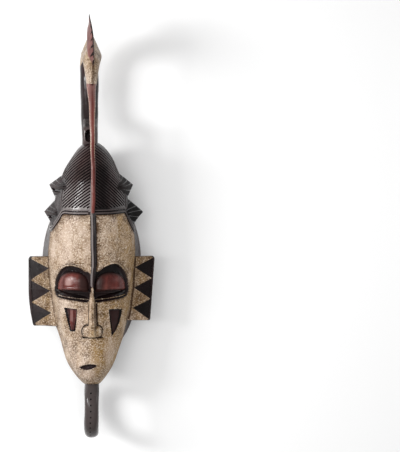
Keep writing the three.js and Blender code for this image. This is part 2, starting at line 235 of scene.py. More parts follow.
def buildGougeTree():  # a round gouge drawn along each line
    tree, given = newTree("gougeAlongLines", {"Radius": 0.001, "Sides": 8})
    tool = addNode(tree, "GeometryNodeCurvePrimitiveCircle", {
        "Resolution": given["Sides"], "Radius": given["Radius"]})
    swept = addNode(tree, "GeometryNodeCurveToMesh", {
        "Curve": given["Geometry"], "Profile Curve": tool["Curve"], "Fill Caps": True})
    return finishTree(tree, swept["Mesh"])


def buildRowTree():  # one cutter set again and again along a line
    tree, given = newTree("cuttersInARow", {
        "Count": 6, "Sides": 12, "Radius": 0.004, "Length": 0.02, "Turn": 0.0, "Roll": 0.0})
    line = addNode(tree, "GeometryNodeResampleCurve", {"Curve": given["Geometry"], "Count": given["Count"]})
    tool = addNode(tree, "GeometryNodeMeshCylinder", {
        "Vertices": given["Sides"], "Radius": given["Radius"], "Depth": given["Length"]})
    spin = addNode(tree, "ShaderNodeCombineXYZ", {"Y": given["Roll"], "Z": given["Turn"]})
    turned = addNode(tree, "GeometryNodeTransform", {"Geometry": tool["Mesh"], "Rotation": spin["Vector"]})
    along = addNode(tree, "GeometryNodeInputTangent")
    aligned = addNode(tree, "FunctionNodeAlignRotationToVector", {"Vector": along["Tangent"]}, axis="Y")
    placed = addNode(tree, "GeometryNodeInstanceOnPoints", {
        "Points": line["Curve"], "Instance": turned["Geometry"], "Rotation": aligned["Rotation"]})
    return finishTree(tree, placed["Instances"])


def buildAdzeTree():  # flat tool marks left on a rough surface
    tree, given = newTree("adzeMarks", {"Size": 0.012, "Depth": 0.001, "Seed": 3.0})
    place = addNode(tree, "GeometryNodeInputPosition")
    each = addNode(tree, "ShaderNodeMath", {0: 1.0, 1: given["Size"]}, operation="DIVIDE")
    cells = addNode(tree, "ShaderNodeTexVoronoi", {
        "Vector": place["Position"], "Scale": each["Value"], "W": given["Seed"]},
        voronoi_dimensions="4D", feature="F1")
    depth = addNode(tree, "ShaderNodeMath", {0: cells["Distance"], 1: given["Depth"]}, operation="MULTIPLY")
    out = addNode(tree, "GeometryNodeInputNormal")
    push = addNode(tree, "ShaderNodeVectorMath", {
        0: out["Normal"], "Scale": depth["Value"]}, operation="SCALE")
    moved = addNode(tree, "GeometryNodeSetPosition", {
        "Geometry": given["Geometry"], "Offset": push["Vector"]})
    return finishTree(tree, moved["Geometry"])


gougeTree, rowTree, adzeTree = buildGougeTree(), buildRowTree(), buildAdzeTree()


def useTree(piece, tree, values):
    modifier = piece.modifiers.new(tree.name, "NODES")
    modifier.node_group = tree
    for item in tree.interface.items_tree:
        if item.in_out == "INPUT" and item.name in values:
            modifier[item.identifier] = values[item.name]


def cutter(name, lines, tree, values, paint=blackGroove):  # the tree's result on the lines, as a painted mesh
    piece = curveObject(name, lines)
    useTree(piece, tree, values)
    mesh = evaluated(piece)
    setPaint(mesh, np.tile(np.array(paint, float), (len(mesh.loops), 1)))
    bpy.data.objects.remove(piece)
    return addObject(name + "Cutter", mesh)


def gouge(name, lines, radius, paint=blackGroove, sides=8):
    return cutter(name, lines, gougeTree, {"Radius": radius / 1000, "Sides": sides}, paint)


# the head: face and hair in one skin, read by angle (0 in the middle, 90 degrees at the edge) and height
head = {
    "widestY": -42, "halfWidth": 65.8, "crownY": 130, "chinY": -240, "roundness": 1.8,
    "front": [[-240, 72], [-233, 87], [-220, 98], [-205, 103], [-185, 102], [-160, 102], [-120, 108],
              [-70, 115.5], [-20, 121.5], [30, 124], [65, 122.5], [86, 117], [105, 107.5], [118, 97.5],
              [126, 84], [130, 62]],
    "edge": [[-240, 72], [-225, 60], [-200, 48], [-170, 42], [-100, 46], [-40, 50], [40, 55], [130, 62]],
    "back": [[-240, 72], [-232, 58], [-220, 47], [-208, 34], [-200, -2], [0, -30], [62, -8], [82, 4],
             [105, 20], [118, 33], [126, 46], [130, 62]],
    "leftJaw": [[-206, 24, 3.6], [-152, 18, 1.6]], "crownLean": [84, 17, 1.7],  # where, how wide, how much
    "rows": [[-240, 0.6], [-232, 1.5], [-214, 1.2], [-200, 1.2], [-190, 2.1], [-168, 1.2], [-150, 1.2],
             [-118, 1.3], [-114, 0.84], [-54, 0.84], [-44, 2.8], [-12, 2.8], [0, 1.5], [40, 1.5], [52, 2.2],
             [108, 2.2], [118, 1.8], [127, 0.7], [130, 0.3]],  # how close the mesh's rows are
    "columns": [[0, 8, 0.68], [8, 56, 0.95], [56, 92, 1.6]],  # from, to and step in degrees
    "backColumns": (96, 264, 14),
}
frontAt, edgeAt, backAt = profile(head["front"]), profile(head["edge"]), profile(head["back"])


def halfWidthAt(y):
    y = np.asarray(y, float)
    reach = np.where(y > head["widestY"], head["crownY"] - head["widestY"], head["widestY"] - head["chinY"])
    return head["halfWidth"] * taper((y - head["widestY"]) / reach, head["roundness"])


def skinPoint(angle, y):
    sin, cos, edge = np.sin(angle), np.cos(angle), edgeAt(y)
    depth = np.where(cos > 0, frontAt(y) - edge, edge - backAt(y))
    jaw = sum(size * bump(y - place, width) for place, width, size in head["leftJaw"])
    jaw = jaw * np.clip(-sin, 0, 1) ** 1.5
    place, width, size = head["crownLean"]
    lean = size * bump(y - place, width) * np.abs(sin)
    return xyz(halfWidthAt(y) * sin - jaw - lean, y, edge + depth * cos)


def skinNormal(angle, y):
    across = skinPoint(angle + 0.01, y) - skinPoint(angle - 0.01, y)
    along = skinPoint(angle, y + 0.3) - skinPoint(angle, y - 0.3)
    out = np.cross(across, along)
    return out / np.maximum(np.linalg.norm(out, axis=-1, keepdims=True), 1e-9)


def lifted(angle, y, lift=0.0):  # a point at a height over the skin
    return skinPoint(angle, y) + skinNormal(angle, y) * np.asarray(lift, float)[..., None]


def onSkin(x, y, lift=0.0):  # the same for a place in front view
    x, y = np.asarray(x, float), np.asarray(y, float)
    angle = np.arcsin(np.clip(x / np.maximum(halfWidthAt(y), 0.1), -0.999, 0.999))
    return lifted(angle, y, lift)


def headRows():
    step, rows = profile(head["rows"]), [head["chinY"] + 0.4]
    while rows[-1] < head["crownY"] - 0.3:
        rows.append(rows[-1] + float(step(rows[-1])))
    return np.array(rows[:-1] + [head["crownY"] - 0.2])


# The head's skin is a grid of points. Each part of the face changes its height and its three paints:
# dark, red and grime with painted light, which browns the cream and blackens the rest for grime and painted
# shade, and under 0.18 rubs the dark stain pale for wear and painted highlight.
def atLeast(skin, **layers):
    for name, value in layers.items():
        skin[name] = np.maximum(skin[name], value)


def replace(skin, where, **layers):
    for name, value in layers.items():
        skin[name] = np.where(where, value, skin[name])


def roundOutline(x, y, half, up, down, power, count=48):
    cos, sin = np.cos(fullTurn(count)), np.sin(fullTurn(count))
    return np.stack([x + half * signedPower(cos, 2 / power),
                     y + np.where(sin > 0, up, down) * signedPower(sin, 2 / power)], -1)


def roundedCorners(outline):
    points = np.array(outline, float)
    after = np.roll(points, -1, axis=0)
    return np.stack([points * 0.75 + after * 0.25, points * 0.25 + after * 0.75], 1).reshape(-1, 2)


# the ridge down the forehead, and the nose: "x" is its middle, "foot" half its width, "flat" half its top's
ridge = {"foot": [[-100, 3.4], [-84, 3.4], [-66, 3.6], [-50, 3.7], [24, 3.8]],
         "x": [[-100, 1.5], [-84, 1.6], [-66, 2.0], [-50, 2.3], [12, 2.3], [24, 1.6]],
         "rise": 4.0, "crestLeft": 0.7, "bottom": -90, "top": 24, "shadow": 0.95, "shadowReach": 7.5}
nose = {"top": -84, "base": -162.6, "baseHalf": 14, "baseLine": 0.75, "baseShadow": 3.5,
        "wingX": 7.5, "wingY": -153.6, "wingWide": 6.9, "wingUp": 8.8, "wingDown": 9.6, "wingRise": 6.2,
        "crest": [[-164, 112.5], [-157, 115.5], [-150, 116.2], [-120, 117], [-95, 118], [-84, 118]],
        "x": [[-164, 0.0], [-150, 0.3], [-132, 0.6], [-113, 1.3], [-98, 1.6], [-84, 1.4]],
        "flat": [[-164, 3.0], [-150, 1.7], [-120, 1.2], [-84, 0.6]],
        "foot": [[-164, 7.6], [-150, 6.3], [-130, 5.7], [-110, 5.0], [-98, 3.9], [-84, 3.6]]}


def carveNose(skin):
    x, y, hand = skin["x"], skin["y"], np.sign(skin["x"])
    foot, left = profile(ridge["foot"])(y), ridge["crestLeft"]
    skin["fromRidge"] = fromRidge = x - profile(ridge["x"])(y)
    lean = (fromRidge + left) / np.where(fromRidge > -left, foot + left, foot - left)
    ends = fade(ridge["bottom"] - 3, ridge["bottom"] + 3, y) * fade(ridge["top"], ridge["top"] - 2, y)
    atLeast(skin, height=ridge["rise"] * np.clip(1 - np.abs(lean) ** 1.25, 0, 1) * ends)

    flat, foot = profile(nose["flat"])(y), profile(nose["foot"])(y)
    skin["fromNose"] = fromNose = x - profile(nose["x"])(y)
    aside, base = np.abs(fromNose), fade(nose["base"] - 0.7, nose["base"] + 0.5, y)
    slope = np.clip((foot - aside) / (foot - flat), 0, 1) ** 0.9
    ends = base * fade(nose["top"] + 4, nose["top"] - 6, y)
    atLeast(skin, height=(profile(nose["crest"])(y) - skin["middle"]) * slope * ends)
    high = y - nose["wingY"]
    down = np.where(high > 0, high / nose["wingUp"], high / nose["wingDown"])
    wing = 1 - ((np.abs(x) - nose["wingX"]) / nose["wingWide"]) ** 2 - down**2
    atLeast(skin, height=nose["wingRise"] * np.sqrt(np.clip(wing, 0, 1)) * base)

    # dark round the wings; painted shade under the base, with a dark line for its underside, and along both
    # sides, widest on the right; and on the bridge, more toward its right face as painted shade
    fromWing = np.abs(1 - np.sqrt(np.clip(1 - wing, 0, 9))) * 7.5
    atLeast(skin, grime=0.95 * falloff(fromWing, 2.8) * fade(4.0, 7.5, aside))
    under = (np.abs(x) < nose["baseHalf"] + 3) * (y < nose["base"])
    line = soft(np.abs(y - nose["base"] + 0.8) - nose["baseLine"], 0.6) * soft(np.abs(x) - nose["baseHalf"])
    atLeast(skin, grime=0.85 * falloff(nose["base"] - y, nose["baseShadow"]) * under, dark=line)
    besideNose = (0.75 + 0.2 * hand) * falloff(np.abs(aside - foot - 0.6), 2.6 + 1.2 * hand)
    atLeast(skin, grime=besideNose * fade(-152, -146, y) * fade(-80, -90, y))
    onNose = 0.36 + 0.28 * fade(-2.6, -1.4, fromNose) + 0.24 * fade(1.8, 3.0, fromNose)
    onNose = onNose * soft(aside - foot, 0.9)
    atLeast(skin, grime=onNose * fade(-156, -146, y) * fade(-88, -98, y))


# both eyes, drawn for the right one: a sunk socket, a round lid over an open slit, and a thin lower rim
eye = {"socket": [[5.5, -110.9], [3.6, -104], [3.0, -95], [3.3, -86], [5, -75.5], [9, -67.5], [15, -61.8],
                  [22, -58.6], [30, -57.5], [37.5, -58.8], [44, -62.6], [49, -69], [52.2, -77], [53.7, -86],
                  [53.6, -94], [52, -101], [48.5, -104.6], [40, -106.5], [32, -107.5], [24, -108.4],
                  [15, -109.6]],
       "recess": 3.8, "rightHigher": 2.6, "border": 1.5, "lidX": 28.3, "lidHalf": 23.2, "lidBase": -90.8,
       "lidUp": {1: 23.6, -1: 25.0}, "lidRound": 2.4, "bulge": 8.6, "lidEdge": 0.5, "lidSag": 1.2,
       "slit": [[5.5, -104.4], [15, -102.8], [30, -101.2], [44, -99.4], [52.5, -96.4]],
       "slitUp": 2.8, "slitDown": 2.9, "slitEnds": (6.2, 51.8), "slitSlant": 0.6, "step": 1.3, "rimRise": 3.4,
       "lowerRim": [[4, -106.4], [17.6, -105.8], [32.3, -104.8], [44, -103.2], [53, -100.6]],
       "fold": [[55.2, -88], [54, -98], [48.5, -109], [39.7, -113.3], [25, -114.4], [6, -115]],
       "glint": {1: (41, 3.5, 0.55), -1: (32, 6.0, 1.0)}}  # where each lid has a painted highlight: x, width, share


def carveEye(skin, s):
    y, xs, fromNose = skin["y"], skin["x"] * s, skin["fromNose"]
    lidX, lidHalf, here = eye["lidX"], eye["lidHalf"], xs > 0
    higher = eye["rightHigher"] * bump(xs - 35, 14) * fade(-78, -64, y) * (s > 0)
    socket = edgeDistance(xs, y - higher, roundedCorners(eye["socket"]))
    inside = np.clip(0.5 - (socket + 0.7) / 1.6, 0, 1)
    base = eye["lidBase"] - eye["lidSag"] * ((xs - lidX) / lidHalf) ** 2
    lidTop = roundOutline(lidX, eye["lidBase"], lidHalf, eye["lidUp"][s], 1, eye["lidRound"])[:25]
    lid = edgeDistance(xs, y, np.vstack([lidTop, [[lidX - lidHalf, -140], [lidX + lidHalf, -140]]]))
    rise, upper = np.clip(-lid / 20, 0, 1), fade(base - 4.0, base + 0.2, y)
    ball = eye["bulge"] * np.sqrt(1 - (1 - rise) ** 2)
    ball = ball + eye["lidEdge"] * bump(y - base - 1.5, 0.8) * (lid < -1)
    fromRim = y - profile(eye["lowerRim"])(xs)
    form = ball * upper + eye["step"] * fade(-98.6, -97.4, y) * (1 - upper)
    form += eye["rimRise"] * bump(fromRim, 0.8) * fade(53, 47, xs)
    replace(skin, (socket < 0.9) & skin["front"] & here,
            height=skin["height"] * (1 - inside) + (form - eye["recess"]) * inside)
    over = fade(14, 21, xs) * fade(50, 42, xs) * fade(-72, -62, y)
    below = (y < -95) & (socket > 0) & (xs > 4) & (xs < 54)
    skin["height"] += eye["border"] * bump(socket - 1.7, 1.0) * over * here
    skin["height"] += bump(lineDistance(xs, y, eye["fold"]), 1.3) * (xs > 4) * (socket > 0)
    skin["height"] -= 0.7 * bump(socket - 2.6, 1.3) * below

    # dark socket, also on the slope beside the nose, and a red lid
    besideNose = (np.abs(fromNose) > profile(nose["foot"])(y) - 0.8) | (y > -86)
    inner = soft(socket - 5.5) * fade(-61, -69, y) * fade(-97, -93, y) * (xs < 15) * besideNose
    lidShare = np.minimum(soft(lid + 0.3), soft(base - 3.6 - y, 0.8)) * here
    atLeast(skin, dark=np.maximum(soft(socket - 0.5), inner) * here,
            red=np.minimum(soft(lid - 1.3), soft(base - 5.4 - y, 0.8)) * here)
    replace(skin, here, dark=np.minimum(skin["dark"], 1 - lidShare))

    # darker round the socket, widest above it; a painted highlight along the raised upper border; painted
    # shade and a painted highlight on the lid; and painted shade in the socket, deepest inside and black
    # under the lid
    reach = 2.6 + (4.6 + 1.2 * s) * fade(-80, -64, y)
    atLeast(skin, grime=np.where(socket > 0, np.exp(-socket / reach), 0.0) * here)
    replace(skin, (np.abs(socket - 2.2) < 0.8) & (over > 0.4) & here, grime=0.2)
    shade = np.minimum(1.15 * np.exp(lid / (4.4 + 0.8 * s)), 1)
    shade = np.maximum(shade, 0.75 * fade(base + 1.2, base - 1.8, y))
    shade = np.maximum(shade, 0.85 * fade(25 - s, 13 - s, xs))
    place, width, share = eye["glint"][s]
    pale = bump(xs - place, width) * fade(-87.5, -84, y) * fade(-65, -70, y) * share
    inSocket = 0.3 + 0.39 * fade(-0.5, -4, socket) - 0.12 * fade(40, 50, xs)
    replace(skin, (lidShare > 0.5) & here, grime=np.maximum(shade, 0.28 * (1 - pale)))
    replace(skin, (socket < 0) & (lidShare < 0.5) & here, grime=np.where(y < base + 1, 0.69, inSocket))
    onRim = soft(np.abs(fromRim - 0.2) - 0.7, 0.7) * (socket < 1) * (xs > 5) * (xs < 51)
    skin["dark"] = np.minimum(skin["dark"], 1 - 0.7 * onRim)
    replace(skin, onRim > 0.5, grime=0.42)


cheek = {"marks": {1: [[24.4, -121.2], [44.2, -122.6], [43, -132], [40.4, -143], [35.2, -153.6],
                       [28.9, -162]],
                   -1: [[42.0, -119.4], [22.2, -121.2], [24.6, -154.2], [32.4, -154.8]]},
         "topY": -121, "depth": 3.6, "steep": 1.3, "slant": 0.12}


def carveCheeks(skin):  # painted shade on the right cheek, darker paint low on the left, and a chip cut on each that lets the red and the dark show
    x, y, fromTop = skin["x"], skin["y"], skin["y"] - cheek["topY"]
    # painted shade over the right cheek
    atLeast(skin, grime=0.66 * bump(x - 18, 12) * bump(y + 126, 26))
    # darker over the lower left of the face
    atLeast(skin, grime=0.37 * fade(-100, -125, y) * fade(6, -10, x))
    for s, outline in cheek["marks"].items():
        chip = edgeDistance(x, y, np.array(outline) * [s, 1])
        floor = np.maximum(chip * cheek["steep"], -cheek["depth"]) - cheek["slant"] * fromTop * (chip < -2)
        replace(skin, (chip < 0) & skin["front"], height=floor)
        atLeast(skin, red=soft(chip), dark=np.minimum(soft(chip), soft(-(chip + 2.0), 0.8)),
                grime=0.5 * falloff(chip, 1.5))
        facet = x + 32 + fromTop * 0.1  # painted light and shade: the left chip's floor is painted as three facets, dark, pale and mid, and the right one all in painted shade
        middle = np.where(facet < -3.0, 0.8, 0.12 + 0.5 * fade(-138, -152, y))
        paintedFacetLight = np.where(facet > 2.0 + 0.03 * fromTop, 0.6, middle)
        replace(skin, chip < 0, grime=paintedFacetLight if s < 0 else 0.95)


mouth = {"x": -5.0, "y": -205.9, "half": 12.2, "up": 3.4, "down": 4.1, "tilt": 0.1, "depth": 5.5, "pout": 1.8}


def carveMouth(skin):
    x, y = skin["x"] - mouth["x"], skin["y"]
    outline = roundOutline(mouth["x"], mouth["y"], mouth["half"], mouth["up"], mouth["down"], 1.6)
    gap = edgeDistance(skin["x"], y - mouth["tilt"] * x, outline)
    lips = np.exp(-((skin["x"] - mouth["x"] * 0.6) / 19) ** 2 - ((y - mouth["y"]) / 10) ** 2)
    skin["height"] += mouth["pout"] * lips
    skin["height"] -= mouth["depth"] * fade(0.3, -1.6, gap)
    atLeast(skin, dark=soft(gap - 0.2), grime=0.7 * falloff(gap, 2.5))
    replace(skin, gap < 0.2, grime=0.33)
    atLeast(skin, grime=0.36 * fade(-209, -226, y) * (gap > 1))


# the band along the hairline, by degrees from the middle; the two sides aren't alike
hairline = {
    "path": {-1: [[0, 19.3], [25, 20.5], [41, 21.7], [46.5, 19.7], [50.5, 13.5], [56, 6.5], [66, -1],
                  [75, -4.0], [82, -3.0], [88, 2], [97, 12]],
             1: [[0, 19.3], [25, 20.8], [45, 22.8], [54, 23.3], [58.5, 19], [62.5, 10], [70, 1], [80, -6],
                 [97, -8]]},
    "edge": {-1: [[24, 44.6], [40, 43.2], [55, 41.5], [72, 40]],
             1: [[24, 50.5], [32, 49.3], [52, 47.8], [62, 44.8], [72, 41.8]]},
    "bead": 1.25, "secondBead": 1.05, "edgeBead": 1.3, "apart": 4.1, "gap": 0.95, "perDegree": 1.12,
    "curl": [[65.5, 2.6], [67, 4.8], [70.5, 4.9]],  # a small hole inside the turned-up end of the left band
}
hairlineAt = {s: profile(path) for s, path in hairline["path"].items()}


def paintHair(skin):  # the hair above the band, the dark ridge, the flanks
    x, y, arc, fromRidge = (skin[name] for name in ("x", "y", "arc", "fromRidge"))
    above = np.zeros_like(x)
    for s in (1, -1):
        path = np.array(hairline["path"][s]) * [hairline["perDegree"], 1]
        signed = np.sign(y - hairlineAt[s](arc)) * lineDistance(arc * hairline["perDegree"], y, path)
        above = np.where(x * s >= 0, signed, above)
    hairShare = np.maximum(soft(-(above + 2.4)), soft((88.5 - arc) * 1.15))
    atLeast(skin, dark=hairShare, grime=0.95 * falloff(-above - 2.4, 8.0))
    skin["red"] = np.minimum(skin["red"], 1 - hairShare)
    # painted shade toward the sides, where the head turns away
    atLeast(skin, grime=0.75 * fade(62, 88, arc))
    # painted shade on the right of the ridge, and a narrow dark border on its left
    right = ridge["shadow"] * falloff(fromRidge - 3.8, ridge["shadowReach"])
    beside = np.where(fromRidge > 0, right, 0.6 * falloff(-fromRidge - 3.8, 1.5))
    onRidge = soft(np.abs(fromRidge) - profile(ridge["foot"])(y) - 0.1, 0.9) * soft(-88 - y, 4)
    atLeast(skin, dark=onRidge, grime=beside * (y > -95))
    isDark = skin["dark"] > 0.6
    replace(skin, isDark & (above > -2), grime=0.25)
    # the ridge's left face rubbed pale as a painted highlight, its right face darker as painted shade
    replace(skin, isDark & (onRidge > 0.5), grime=np.where(fromRidge < -0.6, 0.06, 0.45))
    # painted highlight on the comb's ridges, low on the left and at the far right, and painted shade right of
    # the middle
    paintedGlintLeft = fade(84, 46, y) * (1 - 0.8 * fade(-36, -50, x))
    paleShare = np.where(x < 0, paintedGlintLeft, 0.6 * fade(80, 42, y) * fade(24, 36, x))
    shaded = 0.62 * bump(x - 16, 12) * fade(110, 80, y) * (x > 0)
    replace(skin, isDark & (above > 2) & (arc < 60), grime=0.24 - 0.21 * paleShare + shaded)


def buildHead():
    side = np.radians(np.concatenate([np.arange(*span) for span in head["columns"]]))
    back = np.radians(np.linspace(*head["backColumns"]))
    angle, y = np.meshgrid(np.concatenate([-side[:0:-1], side, back]), headRows())
    points = skinPoint(angle, y)
    skin = {"x": points[..., 0], "y": y, "middle": skinPoint(np.zeros_like(y), y)[..., 2],
            "arc": np.abs(np.degrees(angle)), "front": np.cos(angle) > -0.05}
    skin.update({layer: np.zeros_like(y) for layer in ("height", "dark", "red", "grime")})
    carveNose(skin)
    for s in (1, -1):
        carveEye(skin, s)
    carveCheeks(skin)
    carveMouth(skin)
    paintHair(skin)
    height = np.where(skin["front"], skin["height"], 0)
    height[0] = height[-1] = 0
    dull = 0.26 * fade(52, 76, skin["arc"])
    paint = np.stack([skin["dark"], skin["red"], dull, skin["grime"]], -1)
    return loft("head", points + skinNormal(angle, y) * height[..., None], paint)


hair = {"slope": 0.7, "pitch": 4.5, "first": 27.5, "last": 187, "gouge": 1.3, "depth": 1.75,
        "overBand": 7.0, "lockTop": 72, "flankTop": 80, "flankEnd": 74, "top": 126}


def combLines():  # from the middle of the head down to the side locks, on both sides
    lines = []
    for start in np.arange(hair["first"], hair["last"], hair["pitch"]):
        for s in (1, -1):
            line = []
            for angle in np.radians(np.arange(3.4 + max(0, start - 60) * 0.03, 92, 1.8)):
                y, degrees = start, math.degrees(angle)
                for _ in range(12):
                    y = 0.5 * y + 0.5 * (start - hair["slope"] * float(halfWidthAt(y)) * angle)
                if y > hair["top"]:
                    continue
                x = abs(float(halfWidthAt(y)) * math.sin(angle))
                sideEnd = float(profile(hairline["edge"][s])(y)) if y < hair["lockTop"] else 99
                onFlank = y < hair["flankTop"] and degrees > hair["flankEnd"]
                if y < float(hairlineAt[s](degrees)) + hair["overBand"] or x > sideEnd or onFlank:
                    break
                y += 0.3 * noise.noise(Vector((start * 0.37, angle * 5, s)))
                line.append(lifted(np.array(angle * s), np.array(y), hair["gouge"] - hair["depth"]))
            if len(line) > 2:
                lines.append(line)
    return lines


def bandLine(s, offset, start=4.6, lift=0.0):  # a line that keeps its distance to the hairline's path
    degrees = np.linspace(start, 96, 90)
    y = hairlineAt[s](degrees)
    along = unit(np.gradient(np.stack([degrees * hairline["perDegree"], y], -1), axis=0))
    degrees, y = degrees - along[:, 1] * offset / hairline["perDegree"], y + along[:, 0] * offset
    keep = np.concatenate([[True], np.diff(degrees) > 0.15])
    return lifted(np.radians(degrees[keep]) * s, y[keep], lift)


def bands():  # the raised lines along the hair, each with its radius and its share of grime and painted light
    lines = []
    for s in (1, -1):
        # the left beads are rubbed paler than the right, as a painted highlight
        grime = 0.15 if s > 0 else 0.05
        lines.append((hairline["bead"], grime, bandLine(s, 0, lift=0.3)))
        lines.append((hairline["secondBead"], grime, bandLine(s, hairline["apart"], lift=0.1)))
        y = np.linspace(27, 62, 20)
        line = onSkin((profile(hairline["edge"][s])(y) + 1.6) * s, y, -0.35)
        lines.append((hairline["edgeBead"], 0.15, line))
    return lines


def eyeSlit(s):
    x = np.linspace(*eye["slitEnds"], 27)
    middle, open_ = profile(eye["slit"])(x), np.sqrt(np.clip(1 - ((x - 29) / 22.8) ** 2, 0, 1)) ** 0.8
    upper, lower = middle + eye["slitUp"] * open_ + 0.04, middle - eye["slitDown"] * open_ - 0.04
    x, y = np.concatenate([x, x[::-1][1:-1]]) * s, np.concatenate([upper, lower[::-1][1:-1]])
    skin = 106 - 16 * (x / 52) ** 2  # behind the skin the slit runs on a slant, up under the eyeball
    depths = [*np.linspace(56, 110, 19), 160]
    rings = [xyz(x, y + eye["slitSlant"] * np.clip(skin - z, 0, 99), z) for z in depths]
    # the slit's walls are painted black, as painted shade inside the mask
    return loft("slit", rings, blackGroove)


def faceLines():  # fine cuts in the face and the hair, with the gouge's radius
    lines = []
    for s in (1, -1):
        browX = np.linspace(20, 43, 30)
        lines.append((0.6, onSkin(browX * s, -54.2 - 0.022 * (browX - 31) ** 2, 0.55)))
        wingCuts = (1.05, -42, 118, 34, 7.3, 9.3, 0.25), (0.6, -40, 50, 14, 4.6, 5.2, 4.6)
        for radius, start, end, count, wide, tall, lift in wingCuts:
            turn = np.radians(np.linspace(start, end, count))
            x, y = nose["wingX"] + wide * np.cos(turn), nose["wingY"] + tall * np.sin(turn)
            lines.append((radius, onSkin(x * s, y, lift)))
        footCuts = ((0.85 + 0.3 * s, nose, -112, -144, 16, 0.4, 0.25),
                    (0.5 + 0.1 * s, ridge, 16, -58, 40, 0.3, 0.15))
        for radius, part, start, end, count, out, lift in footCuts:
            y = np.linspace(start, end, count)
            x = profile(part["x"])(y) + (profile(part["foot"])(y) + out) * s
            lines.append((radius, onSkin(x, y, lift)))
        lines.append((1.0, bandLine(s, -2.1, start=6.5, lift=0.35)))
        lines.append((hairline["gap"], bandLine(s, hairline["apart"] / 2, lift=0.3)))
    lines.append((1.2, [lifted(np.radians(-degrees), y, 0.2) for degrees, y in np.array(hairline["curl"])]))
    base = np.linspace(-14.6, 14.6, 24)
    lines.append((0.95, onSkin(base, nose["base"] - 0.9 + (base / 14.6) ** 4 * 1.6, 0.2)))
    return lines


# the wall behind the face, with its rim, and the hollow
rim = {"middleY": -60, "halfWidth": 77, "up": 114, "down": 141, "roundness": 2.3, "thickness": 11,
       "jawY": -211, "inset": 1.5, "narrower": (-5.0, 2.5), "narrowFrom": (-118, -150)}
hollow = {"wall": 16, "springZ": 40, "openZ": -4, "slices": 60, "around": 80,
          "adze": {"Size": 0.017, "Depth": 0.0022, "Seed": 5.0}}


def buildSkirt():
    cos, sin = np.cos(fullTurn(132)), np.sin(fullTurn(132))
    rings = []
    for up in np.linspace(0, 1, 16):
        rimX = rim["halfWidth"] * signedPower(cos, 2 / rim["roundness"])
        rimReach = np.where(sin > 0, rim["up"], rim["down"])
        rimY = rim["middleY"] + rimReach * signedPower(sin, 2 / rim["roundness"])
        rimX = rimX - np.where(cos < 0, *rim["narrower"]) * fade(*rim["narrowFrom"], rimY)
        reach = np.where(sin > 0, head["crownY"] - head["widestY"] - rim["inset"],
                         head["widestY"] - rim["jawY"])
        edgeX = (head["halfWidth"] - rim["inset"]) * signedPower(cos, 2 / head["roundness"])
        edgeY = head["widestY"] + reach * signedPower(sin, 2 / head["roundness"])
        x, y = rimX + (edgeX - rimX) * up**0.8, rimY + (edgeY - rimY) * up**0.8
        rings.append(xyz(x, y, up * edgeAt(y)))
    return loft("skirt", rings, (1, 0, 0.12, 0.15))


def buildHollow():
    top = rim["middleY"] + rim["up"] - rim["thickness"]
    bottom = rim["middleY"] - rim["down"] + rim["thickness"]
    cos, sin = np.cos(fullTurn(hollow["around"])), np.sin(fullTurn(hollow["around"]))
    down, upright, spring = np.clip(-sin / 0.8, 0, 1), -sin >= 0.8, hollow["springZ"]
    rings = []
    for tilt in np.linspace(-np.pi / 2 + 0.02, np.pi / 2 - 0.02, hollow["slices"]):
        py = math.sin(tilt)
        y = bottom + (top - bottom) * (py + 1) / 2
        share, vault = float(taper(py, 2.3)), float(taper(py, 2.6))
        wide = (head["halfWidth"] - hollow["wall"] + 3) * share
        foot = (rim["halfWidth"] - rim["thickness"]) * share
        below = (wide + (foot - wide) * down) * np.where(upright, cos / 0.6, np.sign(cos + 1e-9))
        rise = float(frontAt(y)) - hollow["wall"] - spring
        z = np.where(sin >= 0, spring + rise * vault * sin, spring + (hollow["openZ"] - spring) * down)
        rings.append(xyz(np.where(sin >= 0, wide * cos, below), y, z))
    block = loft("hollow", rings, bareWood)
    useTree(block, adzeTree, hollow["adze"])
    return frozen(block)


# the side panels, with three dark triangles cut into each
panel = {"top": -44, "bottom": {1: -141.5, -1: -149}, "innerX": 46,
         "out": {1: [[-141.5, 88.3], [-44, 95.3]],
                 -1: [[-149, 88.3], [-137, 90.6], [-126, 92.6], [-110, 94.4], [-95, 95.1], [-44, 95.3]]},
         "frontZ": [60, 63], "edgeZ": [95.5, 58], "thickness": 7, "strip": {-1: 5.0, 1: 3.0}, "grime": 0.52,
         "triangles": 3, "cut": 1.7, "overlap": 2.2, "tilt": -0.14}


def panelFront(x):
    (nearX, nearZ), (farX, farZ) = panel["frontZ"], panel["edgeZ"]
    return nearZ + (farZ - nearZ) * (np.abs(x) - nearX) / (farX - nearX)


def panelOuter(s, y):
    return float(profile(panel["out"][s])(y))


def buildPanel(s):
    top, bottom = panel["top"], panel["bottom"][s]
    rings, dark = [], []
    for t in np.concatenate([[0, 0.006, 0.014], np.linspace(0.025, 0.975, 44), [0.986, 0.994, 1]]):
        y = top + (bottom - top) * t
        fromEnd = min(top - y, y - bottom)
        corner = 3.2 * max(0, 1 - (top - y) / 4.0) ** 2 + 1.4 * max(0, 1 - (y - bottom) / 2.5) ** 2
        outer, drop = panelOuter(s, y) - corner, 0.7 * max(0, 1 - fromEnd / 1.0) ** 2
        across = np.concatenate([np.linspace(panel["innerX"], outer - 3.2, 18),
                                 outer - np.array([2.7, 2.2, 1.4, 0.7, 0.25])])
        face = panelFront(across) - drop - 0.5 * np.clip(1 - (outer - across) / 1.2, 0, 1) ** 2
        under = panelFront(across) - panel["thickness"] - (95 - across) * 0.15 + drop
        edgeX = np.array([outer, outer + 0.15, outer])
        edge = xyz(edgeX, y, float(panelFront(outer)) - np.array([1.6, 3.5, 5.6]))
        ring = np.vstack([xyz(across, y, face), edge, xyz(across[::-1], y, under[::-1])])
        rings.append(ring * [s, 1, 1])
        border = np.maximum(soft(outer - across - panel["strip"][s], 0.5), soft(fromEnd - 0.5, 0.5))
        dark.append(np.concatenate([border, np.ones(len(edge) + len(across))]))
    dark = np.array(dark)
    return loft("panel", rings, np.stack([dark, 0 * dark, 0 * dark, 0 * dark + panel["grime"]], -1))


